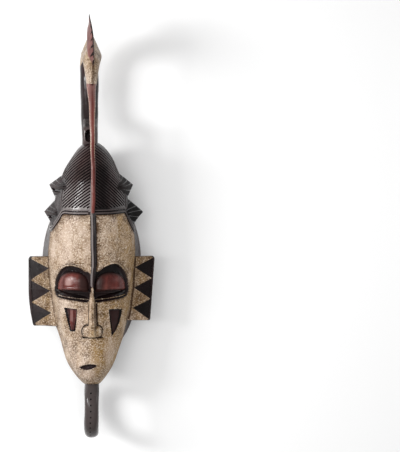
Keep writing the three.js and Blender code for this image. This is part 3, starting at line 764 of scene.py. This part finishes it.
def panelCuts(s):
    top, bottom = panel["top"] - panel["overlap"], panel["bottom"][s] + panel["overlap"]
    step = (top - bottom) / panel["triangles"]
    radius = step / math.sqrt(3) * 0.985
    line = []
    for t in (panel["triangles"] - 0.5, 0.5):
        y = top - step * t
        x = float(panelOuter(s, y)) - 1.4 - radius / 2
        line.append([s * x, y, float(panelFront(x)) + 10 - panel["cut"]])
    return cutter("panelChips", [line], rowTree, {
        "Count": panel["triangles"], "Sides": 3, "Radius": radius / 1000, "Length": 0.02,
        "Turn": math.pi if s > 0 else 0.0, "Roll": panel["tilt"]}, (1, 0, 0, 0.69 + 0.05 * s))


def panelSeam(s):
    y = np.linspace(-46, panel["bottom"][s] + 2, 50)
    x = halfWidthAt(y) * 0.985 + 0.7
    line = xyz(x * s, y, panelFront(x) + 0.1)
    return gouge("seam", [line], 1.1 + 0.4 * s, (0.1 + 0.1 * s, 0, 0, 0.85 + 0.1 * s))


# locks of hair at the sides: two sharp folds, one above the other, that end on the brow
# the right locks are painted darker than the left, as painted shade
locks = {
    "upper": {"ridge": [[34, 60, 66], [47, 64.2, 64.6], [88, 51, 59.6], [96, 45.5, 58.4], [101, 38, 57.8]],
              "top": [[34, 84], [47, 84], [96, 68]], "bottom": [[34, 37], [47, 37], [80, 42], [96, 50]],
              "curl": (0.85, 0.95), "longer": {-1: 0, 1: -1.5}, "paint": {-1: (0.28, 0.3), 1: (0.3, 0.78)}},
    "lower": {"ridge": [[34, 67, 24], [43.5, 70.8, 23.3], [80, 60.5, 20], [87, 57, 19.2], [93, 48.5, 18.8]],
              "top": [[34, 47], [43.5, 47], [80, 38], [93, 30]],
              "bottom": [[34, -3], [43.5, -3], [80, 7], [93, 13]],
              "curl": (0.9, 0.85), "longer": {-1: 1.5, 1: 7.5}, "paint": {-1: (0.28, 0.3), 1: (0.3, 0.9)}},
}
lockCut = {"strand": 0.85, "fold": 3.0, "rooted": 5}


def lockRoot(size, root, z):  # where a flank leaves the head
    y = float(profile(size[root])(z))
    share = np.clip((z - edgeAt(y)) / (frontAt(y) - edgeAt(y)), 0, 1)
    return float(halfWidthAt(y) * np.sqrt(1 - share**2)) - lockCut["rooted"], y


def lockTip(size, s, z):
    x, y = profile(size["ridge"])(z)
    low, high = size["ridge"][0][0], size["ridge"][-1][0]
    return x + size["longer"][s] * fade(high - 6, low + 14, z), y


def buildLock(s, size):
    t = np.linspace(0, 1, 16)
    rings = []
    for z in np.linspace(size["ridge"][0][0], size["ridge"][-1][0], 40):
        tipX, tipY = lockTip(size, s, z)
        (topX, topY), (lowX, lowY) = lockRoot(size, "top", z), lockRoot(size, "bottom", z)
        upper = np.stack([topX + (tipX - topX) * t ** size["curl"][0], topY + (tipY - topY) * t], -1)
        back = t[::-1][1:]
        lower = np.stack([lowX + (tipX - lowX) * back ** (1 / size["curl"][1]),
                          lowY + (tipY - lowY) * back], -1)
        ring = np.vstack([upper, lower, [[20, lowY], [20, topY]]])
        rings.append(xyz(ring[:, 0] * s, ring[:, 1], z))
    dull, grime = size["paint"][s]
    return loft("lock", rings, (1, 0, dull, grime))


def lockLines(s, size):  # strands along both flanks, and the deep hollow under a left lock's fold
    lines, low, high = [], size["ridge"][0][0], size["ridge"][-1][0]
    flanks = (("top", (0.3, 0.6, 0.86), size["curl"][0]), ("bottom", (0.35, 0.7), 1 / size["curl"][1]))
    for root, shares, curl in flanks:
        for share in shares:
            line = []
            for z in np.linspace(low + 10, high - 1, 24):
                (tipX, tipY), (rootX, rootY) = lockTip(size, s, z), lockRoot(size, root, z)
                x = rootX + (tipX - rootX) * share**curl + 0.2
                line.append([s * x, rootY + (tipY - rootY) * share, z])
            lines.append((lockCut["strand"], line))
    if s < 0:
        path = [(*profile(size["ridge"])(z), z) for z in np.linspace(low + 26, high - 3, 16)]
        lines.append((lockCut["fold"], [[s * (x - 3.0), y - 6.2, z + 1.5] for x, y, z in path]))
    return lines


# the bird: x, y, z, half width, half depth, and how far the section is drawn to a point on its outer side
birdStations = [
    [-2.4, 106, 72, 13, 13, 0], [-2.7, 124, 69, 11.5, 11, 0], [-2.7, 139, 63.5, 12, 10.5, 0],
    [-2.9, 154, 54, 12.4, 11, 0], [-3.4, 172, 44.5, 12.9, 11.8, 0], [-4, 194, 41, 13.4, 12.8, 0],
    [-4.2, 215, 41, 13.8, 13, 0], [-4.3, 233, 43, 14, 13, 0], [-4, 247, 47.5, 14.2, 13.5, 0.05],
    [-3.2, 261, 56, 14, 15.5, 0.3], [-2.6, 271, 69, 13.8, 18, 0.75], [-1.4, 271.5, 84, 15.0, 18, 0.95],
    [-0.7, 264, 98, 15.6, 14, 0.95], [-0.5, 254, 113, 15.9, 11.5, 0.8],
    [-0.5, 239, 126.5, 14.1, 13, 0.45], [-0.4, 223, 131.5, 10.6, 13, 0.25], [0, 204, 130, 6.9, 10.4, 0]]
beakRootY = 205.8  # where the cream of the head ends and the red of the beak starts


def sweep(name, stations, count, sides, paintAt, box=1.0):  # a body along a smooth path through the stations
    table = np.array(stations, float)
    reach = lengthAlong(table[:, :3])
    path = readCurve(reach, table, np.gradient(table, reach, axis=0), np.linspace(0, reach[-1], count))
    forward = unit(np.gradient(path[:, :3], axis=0))
    side = unit(np.array([1.0, 0, 0]) - forward * forward[:, :1])
    inward, turn = np.cross(side, forward), fullTurn(sides)
    cos, sin = signedPower(np.cos(turn), box)[None, :], signedPower(np.sin(turn), box)[None, :]
    pinch = path[:, 5, None]
    drop = np.clip((1 + sin) / 1.8, 0, 1) ** 0.9 * np.clip((1 - sin) / 0.25, 0, 1) ** 0.5 * np.sign(cos)
    cos = cos * (1 - pinch) + drop * pinch
    rings = (path[:, None, :3] + (cos * path[:, 3, None])[..., None] * side[:, None, :]
             + (sin * path[:, 4, None])[..., None] * inward[:, None, :])
    return loft(name, rings, paintAt(*np.moveaxis(rings, -1, 0)))


def birdPaint(x, y, z):
    cream = fade(-5, 5, y - 246 + (z - 35) * 0.12 - 11 * fade(50, 66, z) * fade(264, 246, y))
    cream = np.maximum(cream, fade(86, 98, z) * fade(198, 200, y))
    red = soft(y - beakRootY, 0.8) * (z > 100)
    grime = 0.38 + 0.18 * fade(1, 9, x) * fade(90, 115, z) + 0.5 * bump(x - 1.6, 1.6) * fade(118, 126, z)
    return np.stack([np.where(red > 0.5, 0, 1 - cream), red, 0 * y, np.where(cream > 0.5, grime, 0.2)], -1)


def birdEye(s):  # two short nicks on each side, and a nostril
    marks = [[[x, y - 2.2, z - 1.0], [x, y + 2.2, z + 1.0]] for x, y, z in
             ((s * 14.0 - 1.6, 262.5, 104), (s * 14.0 - 1.2, 258, 108.6))]
    return marks + [[[s * 13.8 - 1.0, 252, 113.2], [s * 13.8 - 1.0, 253.4, 114.2]]]


beak = {"root": 218, "tip": 19.5, "backZ": 119.8, "edge": 1.2,
        "front": [[19, 127.8], [50, 130.6], [115, 132.8], [175, 134], [205, 140], [220, 142.5]],
        "half": [[19, 2.5], [40, 3.0], [73, 3.3], [112, 3.3], [130, 3.4], [149, 4.0], [163, 4.2], [178, 4.9],
                 [192, 5.9], [206, 6.9], [220, 7.0]],
        "x": [[19, 1.8], [54, 1.6], [76, 1.9], [100, 1.8], [127, 1.0], [149, 0.2], [178, -0.3], [206, -0.6],
              [220, -0.4]]}
beakFront, beakHalf, beakX = (profile(beak[name]) for name in ("front", "half", "x"))


def beakPaint(x, y, z):  # red, with rubbed edges, a dirty middle line, and its right half darker low down
    out, redShare = x - beakX(y), soft(y - beakRootY, 0.8)
    paleShare = soft(beakHalf(y) - beak["edge"] - np.abs(out), 0.5) * (z > beakFront(y) - 1.8)
    paleShare = paleShare * (0.3 + 0.7 * fade(60, 130, y))
    darkened = np.maximum(bump(out - 0.4, 1.0), fade(0.2, 1.6, out) * fade(110, 70, y))
    grime = 0.12 + 0.45 * darkened * redShare
    return np.stack([0 * y, redShare * (1 - 0.7 * paleShare), 0 * y, grime], -1)


def buildBeak():
    stations, back = [], beak["backZ"]
    for y in np.linspace(beak["root"], beak["tip"], 24):
        x, front, half = float(beakX(y)), float(beakFront(y)), float(beakHalf(y))
        stations.append([x, y, (front + back) / 2, half, (front - back) / 2, 0])
    return sweep("beak", stations, 130, 34, beakPaint, 0.5)


breast = {"outline": [[48, 160], [61, 165], [75, 155], [90, 148], [86, 122], [70, 112], [54, 130]],
          "half": 10.2, "x": -2.6, "hollowY": 136.5, "hollowUp": 9.5, "hollowHalf": 7.6, "hollowZ": (77, 112)}


def buildBreast():
    corners = np.array(breast["outline"], float)
    after = np.roll(corners, -1, axis=0)
    outline = np.vstack([np.linspace(a, b, 10, endpoint=False) for a, b in zip(corners, after)])
    for _ in range(4):
        outline = 0.5 * outline + 0.25 * (np.roll(outline, 1, axis=0) + np.roll(outline, -1, axis=0))
    middle, rings = outline.mean(0), []
    for u in np.linspace(-1, 1, 17):
        ring = middle + (outline - middle) * (1 - 0.1 * (1 - math.sqrt(max(0, 1 - abs(u) ** 6))))
        rings.append(xyz(breast["x"] + breast["half"] * u, ring[:, 1], ring[:, 0]))
    return loft("breast", rings, darkStain)


def buildBreastHollow():
    cos, sin = np.cos(fullTurn(28)), np.sin(fullTurn(28))
    rings = []
    for z in np.linspace(*breast["hollowZ"], 12):
        grow = min(1, 0.7 + (z - breast["hollowZ"][0]) * 0.03)
        x = breast["x"] + breast["hollowHalf"] * grow * signedPower(cos, 0.8)
        y = breast["hollowY"] + breast["hollowUp"] * grow * signedPower(sin, 0.7) + (z - 90) * 0.25
        rings.append(xyz(x, y, z))
    # the hollow's walls are painted black, as painted shade
    return loft("breastHollow", rings, blackGroove)


# the crest leans: its front edge stands to the right of its root; "edge" and "root" are z and y
crest = {"edge": [[147, 232], [150, 246], [144, 268], [131, 291], [117, 306], [104, 313.2], [96, 313.4],
                  [92, 311.5]],
         "root": [[137, 228], [90, 276]], "thin": 0.7, "scallops": 8, "scallop": 3.3, "border": 1.5,
         "notch": 8.5,
         "frontX": [[232, 1.6], [241, 2.4], [250, 2.2], [264, 1.5], [279, 0.8], [289, -0.2], [294, -0.9],
                    [301, -2.2], [306, -3.3], [313.5, -4.2]],
         "wedge": [[234, 0.2], [241, 2.2], [248, 3.8], [263, 4.3], [278, 4.1], [293, 2.8], [299, 2.0],
                   [305, 1.2], [313.5, 0.5]]}
crestFront, crestWedge = profile(crest["frontX"]), profile(crest["wedge"])


def crestEdge(count):
    table = np.array(crest["edge"], float)
    reach = lengthAlong(table)
    return profile(np.hstack([reach[:, None], table]))(np.linspace(0, reach[-1], count))


def buildCrest():
    rings, dark = [], []
    (firstZ, firstY), (lastZ, lastY) = crest["root"]
    reach = np.concatenate([np.linspace(0, 0.9, 20), [0.94, 0.97, 0.99, 1]])
    for i, edge in enumerate(crestEdge(100)):
        share = i / 99
        root = np.array([firstZ + (lastZ - firstZ) * share, firstY + (lastY - firstY) * share])
        line = root + (edge - root) * reach[:, None]
        z, y = line.T
        wedge = crestWedge(y) * np.clip((1 - reach) / 0.45, 0, 1)
        rounded = np.where(reach > 0.9, np.sqrt(np.clip(1 - ((reach - 0.9) / 0.115) ** 2, 0, 1)), 1)
        half, middle = (crest["thin"] + wedge) * rounded, crestFront(y) - wedge
        rings.append(np.vstack([xyz(middle - half, y, z), xyz(middle + half, y, z)[::-1]]))
        inward, place = np.linalg.norm(line - edge, axis=1), (share * 59 - 2) / 47 * (crest["scallops"] - 1)
        notch = np.abs(place - np.round(place))  # 0 at a notch between two scallops
        border = soft(inward - crest["border"] * fade(0.2, 0.5, share) - 0.1, 0.4)
        border = np.maximum(border, soft((0.95 - share) * 60, 1))
        border = np.maximum(border, soft(inward - crest["notch"] + 40 * notch, 0.7))
        dark.append(np.concatenate([border, border[::-1]]))
    dark = np.array(dark)
    return loft("crest", rings, np.stack([dark, 1 - dark, 0.12 + 0.2 * dark, 0.16 + 0.84 * dark], -1))


def crestScallops():
    edge = crestEdge(60)[2:50]
    along = unit(np.gradient(edge, axis=0))
    line = edge + np.stack([along[:, 1], -along[:, 0]], -1) * (crest["scallop"] - 2.3)
    return cutter("crestNotches", [xyz(crestFront(line[:, 1]), line[:, 1], line[:, 0])], rowTree, {
        "Count": crest["scallops"], "Sides": 22, "Radius": crest["scallop"] / 1000, "Length": 0.03,
        "Roll": math.pi / 2})


ring = {"x": -0.5, "y": -271, "z": 59, "reachY": 38, "reachZ": 32, "wide": 10.6, "thick": 9.2,
        "notches": 11, "notchX": -2.0, "notchFrom": 172, "notchTo": 58}


def ringPoint(turn, out):  # y and z at a turn of the ring, out from the middle of its bar
    y = ring["y"] + np.cos(turn) * (ring["reachY"] + out)
    return y, ring["z"] + np.sin(turn) * (ring["reachZ"] + out)


def buildRing():
    around = fullTurn(28)[None, :]
    y, z = ringPoint(fullTurn(108)[:, None], signedPower(np.cos(around), 0.9) * ring["thick"])
    x = ring["x"] + ring["wide"] * signedPower(np.sin(around), 0.85)
    return loft("ring", xyz(x, y, z), darkStain, looped=True)


def ringNotches():
    y, z = ringPoint(np.radians(np.linspace(ring["notchFrom"], ring["notchTo"], 60)), ring["thick"] + 0.3)
    return cutter("ringNotch", [xyz(ring["notchX"], y, z)], rowTree, {
        "Count": ring["notches"], "Sides": 6, "Radius": 0.0013, "Length": 0.0052})


def handCarved(piece):  # nothing cut by hand is quite true: a slow drift of less than half a millimetre
    place = np.empty(len(piece.data.vertices) * 3)
    piece.data.vertices.foreach_get("co", place)
    place = place.reshape(-1, 3)
    x, y, z = (place * 1000).T
    off = fade(1, 12, z) * fade(150, 140, z) * fade(315, 300, np.abs(y)) * 1e-3
    aside = 0.45 * np.sin(y / 17 + z / 29) + 0.25 * np.sin(y / 7.3 + x / 13 + 2)
    place[:, 0] += off * fade(92, 80, np.abs(x)) * aside
    place[:, 1] += off * (0.3 * np.sin(x / 11 + y / 31 + 1) + 0.2 * np.sin(z / 9 + x / 17))
    place[:, 2] += off * (0.35 * np.sin(x / 13 + y / 19 + 4) + 0.2 * np.sin(x / 6.1 - y / 8.7))
    piece.data.vertices.foreach_set("co", place.ravel())


def buildMask():
    block = buildHead()
    for radius, grime, line in bands():
        carve(block, gouge("band", [line], radius, (1, 0, 0, grime), 10), "UNION")
    carve(block, gouge("comb", combLines(), hair["gouge"], sides=7))
    for radius, line in faceLines():
        carve(block, gouge("faceLine", [line], radius))
    print("face and hair carved")
    pieces = [buildSkirt()]
    for s in (1, -1):
        pieces.append(buildPanel(s))
        carve(pieces[-1], panelCuts(s))
        for size in locks.values():
            pieces.append(buildLock(s, size))
            for radius, line in lockLines(s, size):
                carve(pieces[-1], gouge("strand", [line], radius))
    neck = sweep("neck", birdStations, 150, 38, birdPaint)
    blade, chest, hoop = buildCrest(), buildBreast(), buildRing()
    for s in (1, -1):
        carve(neck, gouge("birdEye", birdEye(s), 0.95))
    carve(blade, crestScallops())
    carve(chest, buildBreastHollow())
    carve(hoop, ringNotches())
    for piece in pieces + [neck, buildBeak(), blade, chest, hoop]:
        carve(block, piece, "UNION")
    carve(block, buildHollow())
    for s in (1, -1):
        carve(block, panelSeam(s))
        carve(block, eyeSlit(s))
    plate = [[-150, -400], [150, -400], [150, 400], [-150, 400]]
    slab = loft("slab", [[[x, y, z] for x, y in plate] for z in (0, 300)], (1, 0, 0, 0.2))
    carve(block, slab, "INTERSECT")  # the rim lies flat
    handCarved(block)
    block.name = block.data.name = "carvedMask"
    print("mask carved")
    return block


def addWear(piece):  # how worn each point is, and how much grime and painted shade its hollows get, from how the surface bends there
    mesh = piece.data
    count = len(mesh.vertices)
    place, normal = np.empty(count * 3), np.empty(count * 3)
    mesh.vertices.foreach_get("co", place)
    mesh.vertices.foreach_get("normal", normal)
    place, normal = place.reshape(-1, 3), normal.reshape(-1, 3)
    edges = np.empty(len(mesh.edges) * 2, int)
    mesh.edges.foreach_get("vertices", edges)
    a, b = edges.reshape(-1, 2).T
    step = place[b] - place[a]
    length = np.maximum(np.linalg.norm(step, axis=1), 1e-6)
    bend, weight = np.zeros(count), np.zeros(count)
    for near, sign in ((a, 1), (b, -1)):
        np.add.at(bend, near, sign * np.einsum("ij,ij->i", step, normal[near]))
        np.add.at(weight, near, length)
    bend /= np.maximum(weight, 1e-9)
    for _ in range(2):
        total, degree = bend.copy(), np.ones(count)
        for near, far in ((a, b), (b, a)):
            np.add.at(total, near, bend[far])
            np.add.at(degree, near, 1)
        bend = total / degree
    for name, value in (("worn", np.clip(-bend * 2.6, 0, 1)), ("hollowDirtAndShade", np.clip(bend * 3, 0, 1))):
        mesh.attributes.new(name, "FLOAT", "POINT").data.foreach_set("value", value.astype(np.float32))


def buildPaint():
    material = bpy.data.materials.new("agedPaint")
    material.use_nodes = True
    tree = material.node_tree
    tree.nodes.clear()

    def number(operation, first, second=0.0, clamp=False):
        return addNode(tree, "ShaderNodeMath", {0: first, 1: second},
                       operation=operation, use_clamp=clamp)["Value"]

    def plus(first, second, clamp=False):
        return number("ADD", first, second, clamp)

    def times(first, second, clamp=False):
        return number("MULTIPLY", first, second, clamp)

    def swing(value, size):  # a grain's swing to both sides of its middle
        return times(number("SUBTRACT", value, 0.5), size)

    def ramp(value, low, high, toLow=0.0, toHigh=1.0):
        return addNode(tree, "ShaderNodeMapRange", {
            "Value": value, "From Min": low, "From Max": high, "To Min": toLow, "To Max": toHigh})["Result"]

    def coated(colour, *coats):  # coats laid over a colour one after another, each a share and a tint
        for share, tint in coats:
            under, over = ((*value, 1) if isinstance(value, tuple) else value for value in (colour, tint))
            colour = addNode(tree, "ShaderNodeMix", {0: share, 6: under, 7: over}, data_type="RGBA")[2]
        return colour

    place = addNode(tree, "ShaderNodeTexCoord")["Object"]

    def grain(scale, detail=3.0, stretch=(1, 1, 1), rough=0.55):
        mapped = addNode(tree, "ShaderNodeMapping", {"Vector": place, "Scale": stretch})["Vector"]
        return addNode(tree, "ShaderNodeTexNoise", {
            "Vector": mapped, "Scale": scale, "Detail": detail, "Roughness": rough})["Fac"]

    def veins(scale, distortion, detail, detailScale):
        return addNode(tree, "ShaderNodeTexWave", {
            "Vector": place, "Scale": scale, "Distortion": distortion, "Detail": detail,
            "Detail Scale": detailScale}, wave_type="BANDS", bands_direction="X")["Fac"]

    painted = addNode(tree, "ShaderNodeAttribute", attribute_name="paint")
    zones, grime = addNode(tree, "ShaderNodeSeparateColor", {"Color": painted["Color"]}), painted["Alpha"]
    worn, hollowDirtAndShade = (
        addNode(tree, "ShaderNodeAttribute", attribute_name=name)["Fac"] for name in ("worn", "hollowDirtAndShade"))
    speck, cloud, blotch = grain(500, 1.5, rough=0.65), grain(70, 4), grain(24, 5)
    waver, streaks = swing(speck, 0.5), grain(60, 4, (1, 0.16, 1))
    across = addNode(tree, "ShaderNodeSeparateXYZ", {"Vector": place})["X"]

    # cream ground: pale and ochre patches, more ochre toward the right as painted shade, brown crackle and
    # specks, browned toward every border by grime and painted shade
    onPanel = ramp(number("ABSOLUTE", across), 0.060, 0.067)
    ochreAndSideShade = plus(plus(grain(13, 4), times(across, 2.6)), times(onPanel, 0.3))
    paleShare = ramp(grain(38, 4, (1, 0.5, 1)), 0.49, 0.62)
    busy = times(ramp(cloud, 0.40, 0.58, 0.2, 1.0), ramp(paleShare, 0.0, 1.0, 1.0, 0.4))
    crackle = addNode(tree, "ShaderNodeTexVoronoi", {
        "Vector": place, "Scale": 380.0}, feature="DISTANCE_TO_EDGE")
    cracks = times(ramp(crackle["Distance"], 0.13, 0.02), busy)
    pits = times(ramp(speck, 0.53, 0.62), busy)
    soilAndShade = plus(plus(grime, swing(cloud, 1.2)), swing(speck, 1.2))
    cream = coated(
        (0.27, 0.18, 0.105),
        (ramp(blotch, 0.38, 0.60), (0.45, 0.345, 0.255)),
        (ramp(ochreAndSideShade, 0.48, 0.60, 0.0, 0.9), (0.29, 0.172, 0.055)),
        (ramp(streaks, 0.52, 0.70, 0.0, 0.5), (0.52, 0.42, 0.33)),
        (times(paleShare, 0.4), (0.54, 0.425, 0.36)),
        (times(ramp(speck, 0.47, 0.36), 0.7), (0.66, 0.56, 0.46)),
        (times(cracks, 0.6), (0.11, 0.055, 0.022)),
        (times(pits, 0.85), (0.090, 0.044, 0.017)),
        (times(ramp(veins(150.0, 9.0, 2.0, 0.6), 0.5, 0.85), times(onPanel, 0.6)), (0.11, 0.062, 0.025)),
        (ramp(soilAndShade, 0.28, 0.90, 0.0, 0.96), (0.060, 0.029, 0.012)),
        # darker in hollows, for grime and painted shade
        (times(hollowDirtAndShade, 0.85, True), (0.045, 0.023, 0.013)),
        (times(worn, ramp(grime, 0.3, 0.7, 0.5, 0.05), True), (0.62, 0.52, 0.41)))

    # dark stain, near black with a purple cast, rubbed on its edges, paled where the share is low (wear and
    # painted highlight) and blackened where it is high (grime and painted shade)
    dark = coated(
        (0.0085, 0.006, 0.0062),
        (ramp(grain(34, 4), 0.38, 0.66), (0.022, 0.0145, 0.015)),
        (ramp(streaks, 0.50, 0.75, 0.0, 0.5), (0.036, 0.025, 0.025)),
        (ramp(grain(15, 3), 0.50, 0.60, 0.0, 0.65), (0.028, 0.011, 0.012)),
        (ramp(grime, 0.18, 0.0, 0.0, 0.85), (0.25, 0.225, 0.22)),
        (ramp(grime, 0.35, 0.9), (0.002, 0.0015, 0.0014)),
        (times(worn, ramp(grime, 0.5, 0.9, 0.6, 0.03), True), (0.12, 0.085, 0.078)))

    # red-brown paint, streaked along the grain, paled where the share is low (wear and painted highlight),
    # darkened where it is high (grime and painted shade) and in hollows
    red = coated(
        (0.060, 0.014, 0.012),
        (ramp(grain(75, 4, (1, 0.12, 1)), 0.36, 0.66), (0.17, 0.040, 0.032)),
        (ramp(grain(32, 3), 0.5, 0.72, 0.0, 0.6), (0.16, 0.058, 0.046)),
        (ramp(grime, 0.18, 0.03, 0.0, 0.7), (0.36, 0.23, 0.21)),
        (ramp(grime, 0.3, 0.85, 0.0, 0.92), (0.014, 0.0055, 0.005)),
        (times(worn, ramp(grime, 0.2, 0.27, 0.55, 0.12), True), (0.33, 0.17, 0.13)),
        # darker in hollows, for grime and painted shade
        (times(hollowDirtAndShade, 0.7, True), (0.016, 0.006, 0.006)))

    # bare wood inside
    bare = coated(
        (0.15, 0.082, 0.042),
        (veins(38.0, 5.0, 3.0, 1.6), (0.27, 0.165, 0.095)),
        (ramp(grain(18, 3), 0.4, 0.65), (0.09, 0.05, 0.028)))

    redShare, darkShare, bareShare = (
        ramp(plus(zones[name], waver), 0.43, 0.57) for name in ("Green", "Red", "Blue"))
    colour = coated(cream, (redShare, red), (darkShare, dark), (bareShare, bare))

    # the stain is glossiest, and a high share of grime and painted shade and the dull share take the gloss
    # away
    rough = plus(ramp(darkShare, 0.0, 1.0, 0.38, 0.21), ramp(redShare, 0.0, 1.0, 0.0, -0.12))
    rough = plus(rough, ramp(grain(120, 4), 0.35, 0.7, -0.08, 0.1))
    rough = plus(rough, times(ramp(grime, 0.7, 0.95), 0.38))
    rough = plus(rough, times(ramp(zones["Blue"], 0.0, 0.3), 0.42), True)
    fine = plus(times(grain(1100, 3), 0.3), times(grain(330, 3, (1, 0.15, 1)), 0.7))
    fine = number("SUBTRACT", fine, times(plus(cracks, pits), number("SUBTRACT", 0.5, darkShare, True)))
    fine = times(fine, ramp(number("MAXIMUM", darkShare, redShare), 0.0, 1.0, 1.0, 0.3))
    relief = addNode(tree, "ShaderNodeBump", {"Height": fine, "Strength": 0.4, "Distance": 0.0009})["Normal"]
    shader = addNode(tree, "ShaderNodeBsdfPrincipled", {
        "Base Color": colour, "Roughness": rough, "Normal": relief, "Specular IOR Level": 0.2})
    output = tree.nodes.new("ShaderNodeOutputMaterial")
    tree.links.new(shader["BSDF"], output.inputs["Surface"])
    return material


mask = buildMask()
addWear(mask)
mask.data.materials.clear()
mask.data.materials.append(buildPaint())
mask.data.polygons.foreach_set("material_index", np.zeros(len(mask.data.polygons), np.int32))
mask.data.shade_smooth()
mask.data.set_sharp_from_angle(angle=math.radians(40))
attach(mask, "root")
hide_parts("mask")
mask.data.calc_loop_triangles()
print("painted,", len(mask.data.loop_triangles), "triangles")


# a white room in metres, with the mask lying on pale paper
studio = {"room": 0.28, "floorHalf": 6.0, "paper": 0.93, "paperRough": 0.9,
          "lamps": [  # name, place, width, height, power, seen in the gloss
              ("keyBox", (-1.05, 0.12, 0.85), 0.28, 0.5, 14.0, True),
              ("sideBox", (-0.62, 0.0, 1.3), 0.2, 0.7, 4.0, True),
              ("edgeLamp", (1.35, 0.1, 0.32), 0.3, 0.8, 2.2, True),
              ("ceiling", (0.1, 0.0, 2.5), 2.5, 2.5, 34.0, False)]}
# the picture is 400 by 452 pixels, and the mask's middle stands at its column 92, one row off the middle
view = {"lens": 83.6, "sensor": 36, "height": 1.657, "pixels": 452, "columnsOff": 200 - 92, "rowsOff": 1}


def buildStudio():
    scene, side, paper = bpy.context.scene, studio["floorHalf"], studio["paper"]
    scene.view_settings.view_transform = "Standard"
    mesh = bpy.data.meshes.new("floor")
    corners = [(-side, -side, 0), (side, -side, 0), (side, side, 0), (-side, side, 0)]
    mesh.from_pydata(corners, [], [(0, 1, 2, 3)])
    floor = addObject("floor", mesh)
    pale = bpy.data.materials.new("palePaper")
    pale.use_nodes = True
    shader = pale.node_tree.nodes["Principled BSDF"]
    shader.inputs["Base Color"].default_value = (paper, paper, paper, 1)
    shader.inputs["Roughness"].default_value = studio["paperRough"]
    mesh.materials.append(pale)
    world = bpy.data.worlds.new("room")
    world.use_nodes = True
    world.node_tree.nodes["Background"].inputs["Color"].default_value = (1, 1, 1, 1)
    world.node_tree.nodes["Background"].inputs["Strength"].default_value = studio["room"]
    scene.world = world
    for name, place, width, height, power, glossy in studio["lamps"]:
        light = bpy.data.lights.new(name, "AREA")
        light.shape, light.size, light.size_y, light.energy = "RECTANGLE", width, height, power
        lamp = addObject(name, light)
        lamp.location, lamp.visible_glossy = place, glossy
        lamp.rotation_euler = (-Vector(place)).to_track_quat("-Z", "Y").to_euler()


def buildCamera():
    perTurn = view["lens"] / view["sensor"] * view["pixels"]
    up, aside = math.atan(view["rowsOff"] / perTurn), math.atan(view["columnsOff"] / perTurn)
    camera = addObject("camera", bpy.data.cameras.new("camera"))
    camera.data.lens, camera.data.sensor_width = view["lens"], view["sensor"]
    camera.location = (0.0, shiftY / 1000, view["height"])
    camera.rotation_euler = (up, -aside, 0)
    bpy.context.scene.camera = camera


buildStudio()
buildCamera()
print("studio ready")
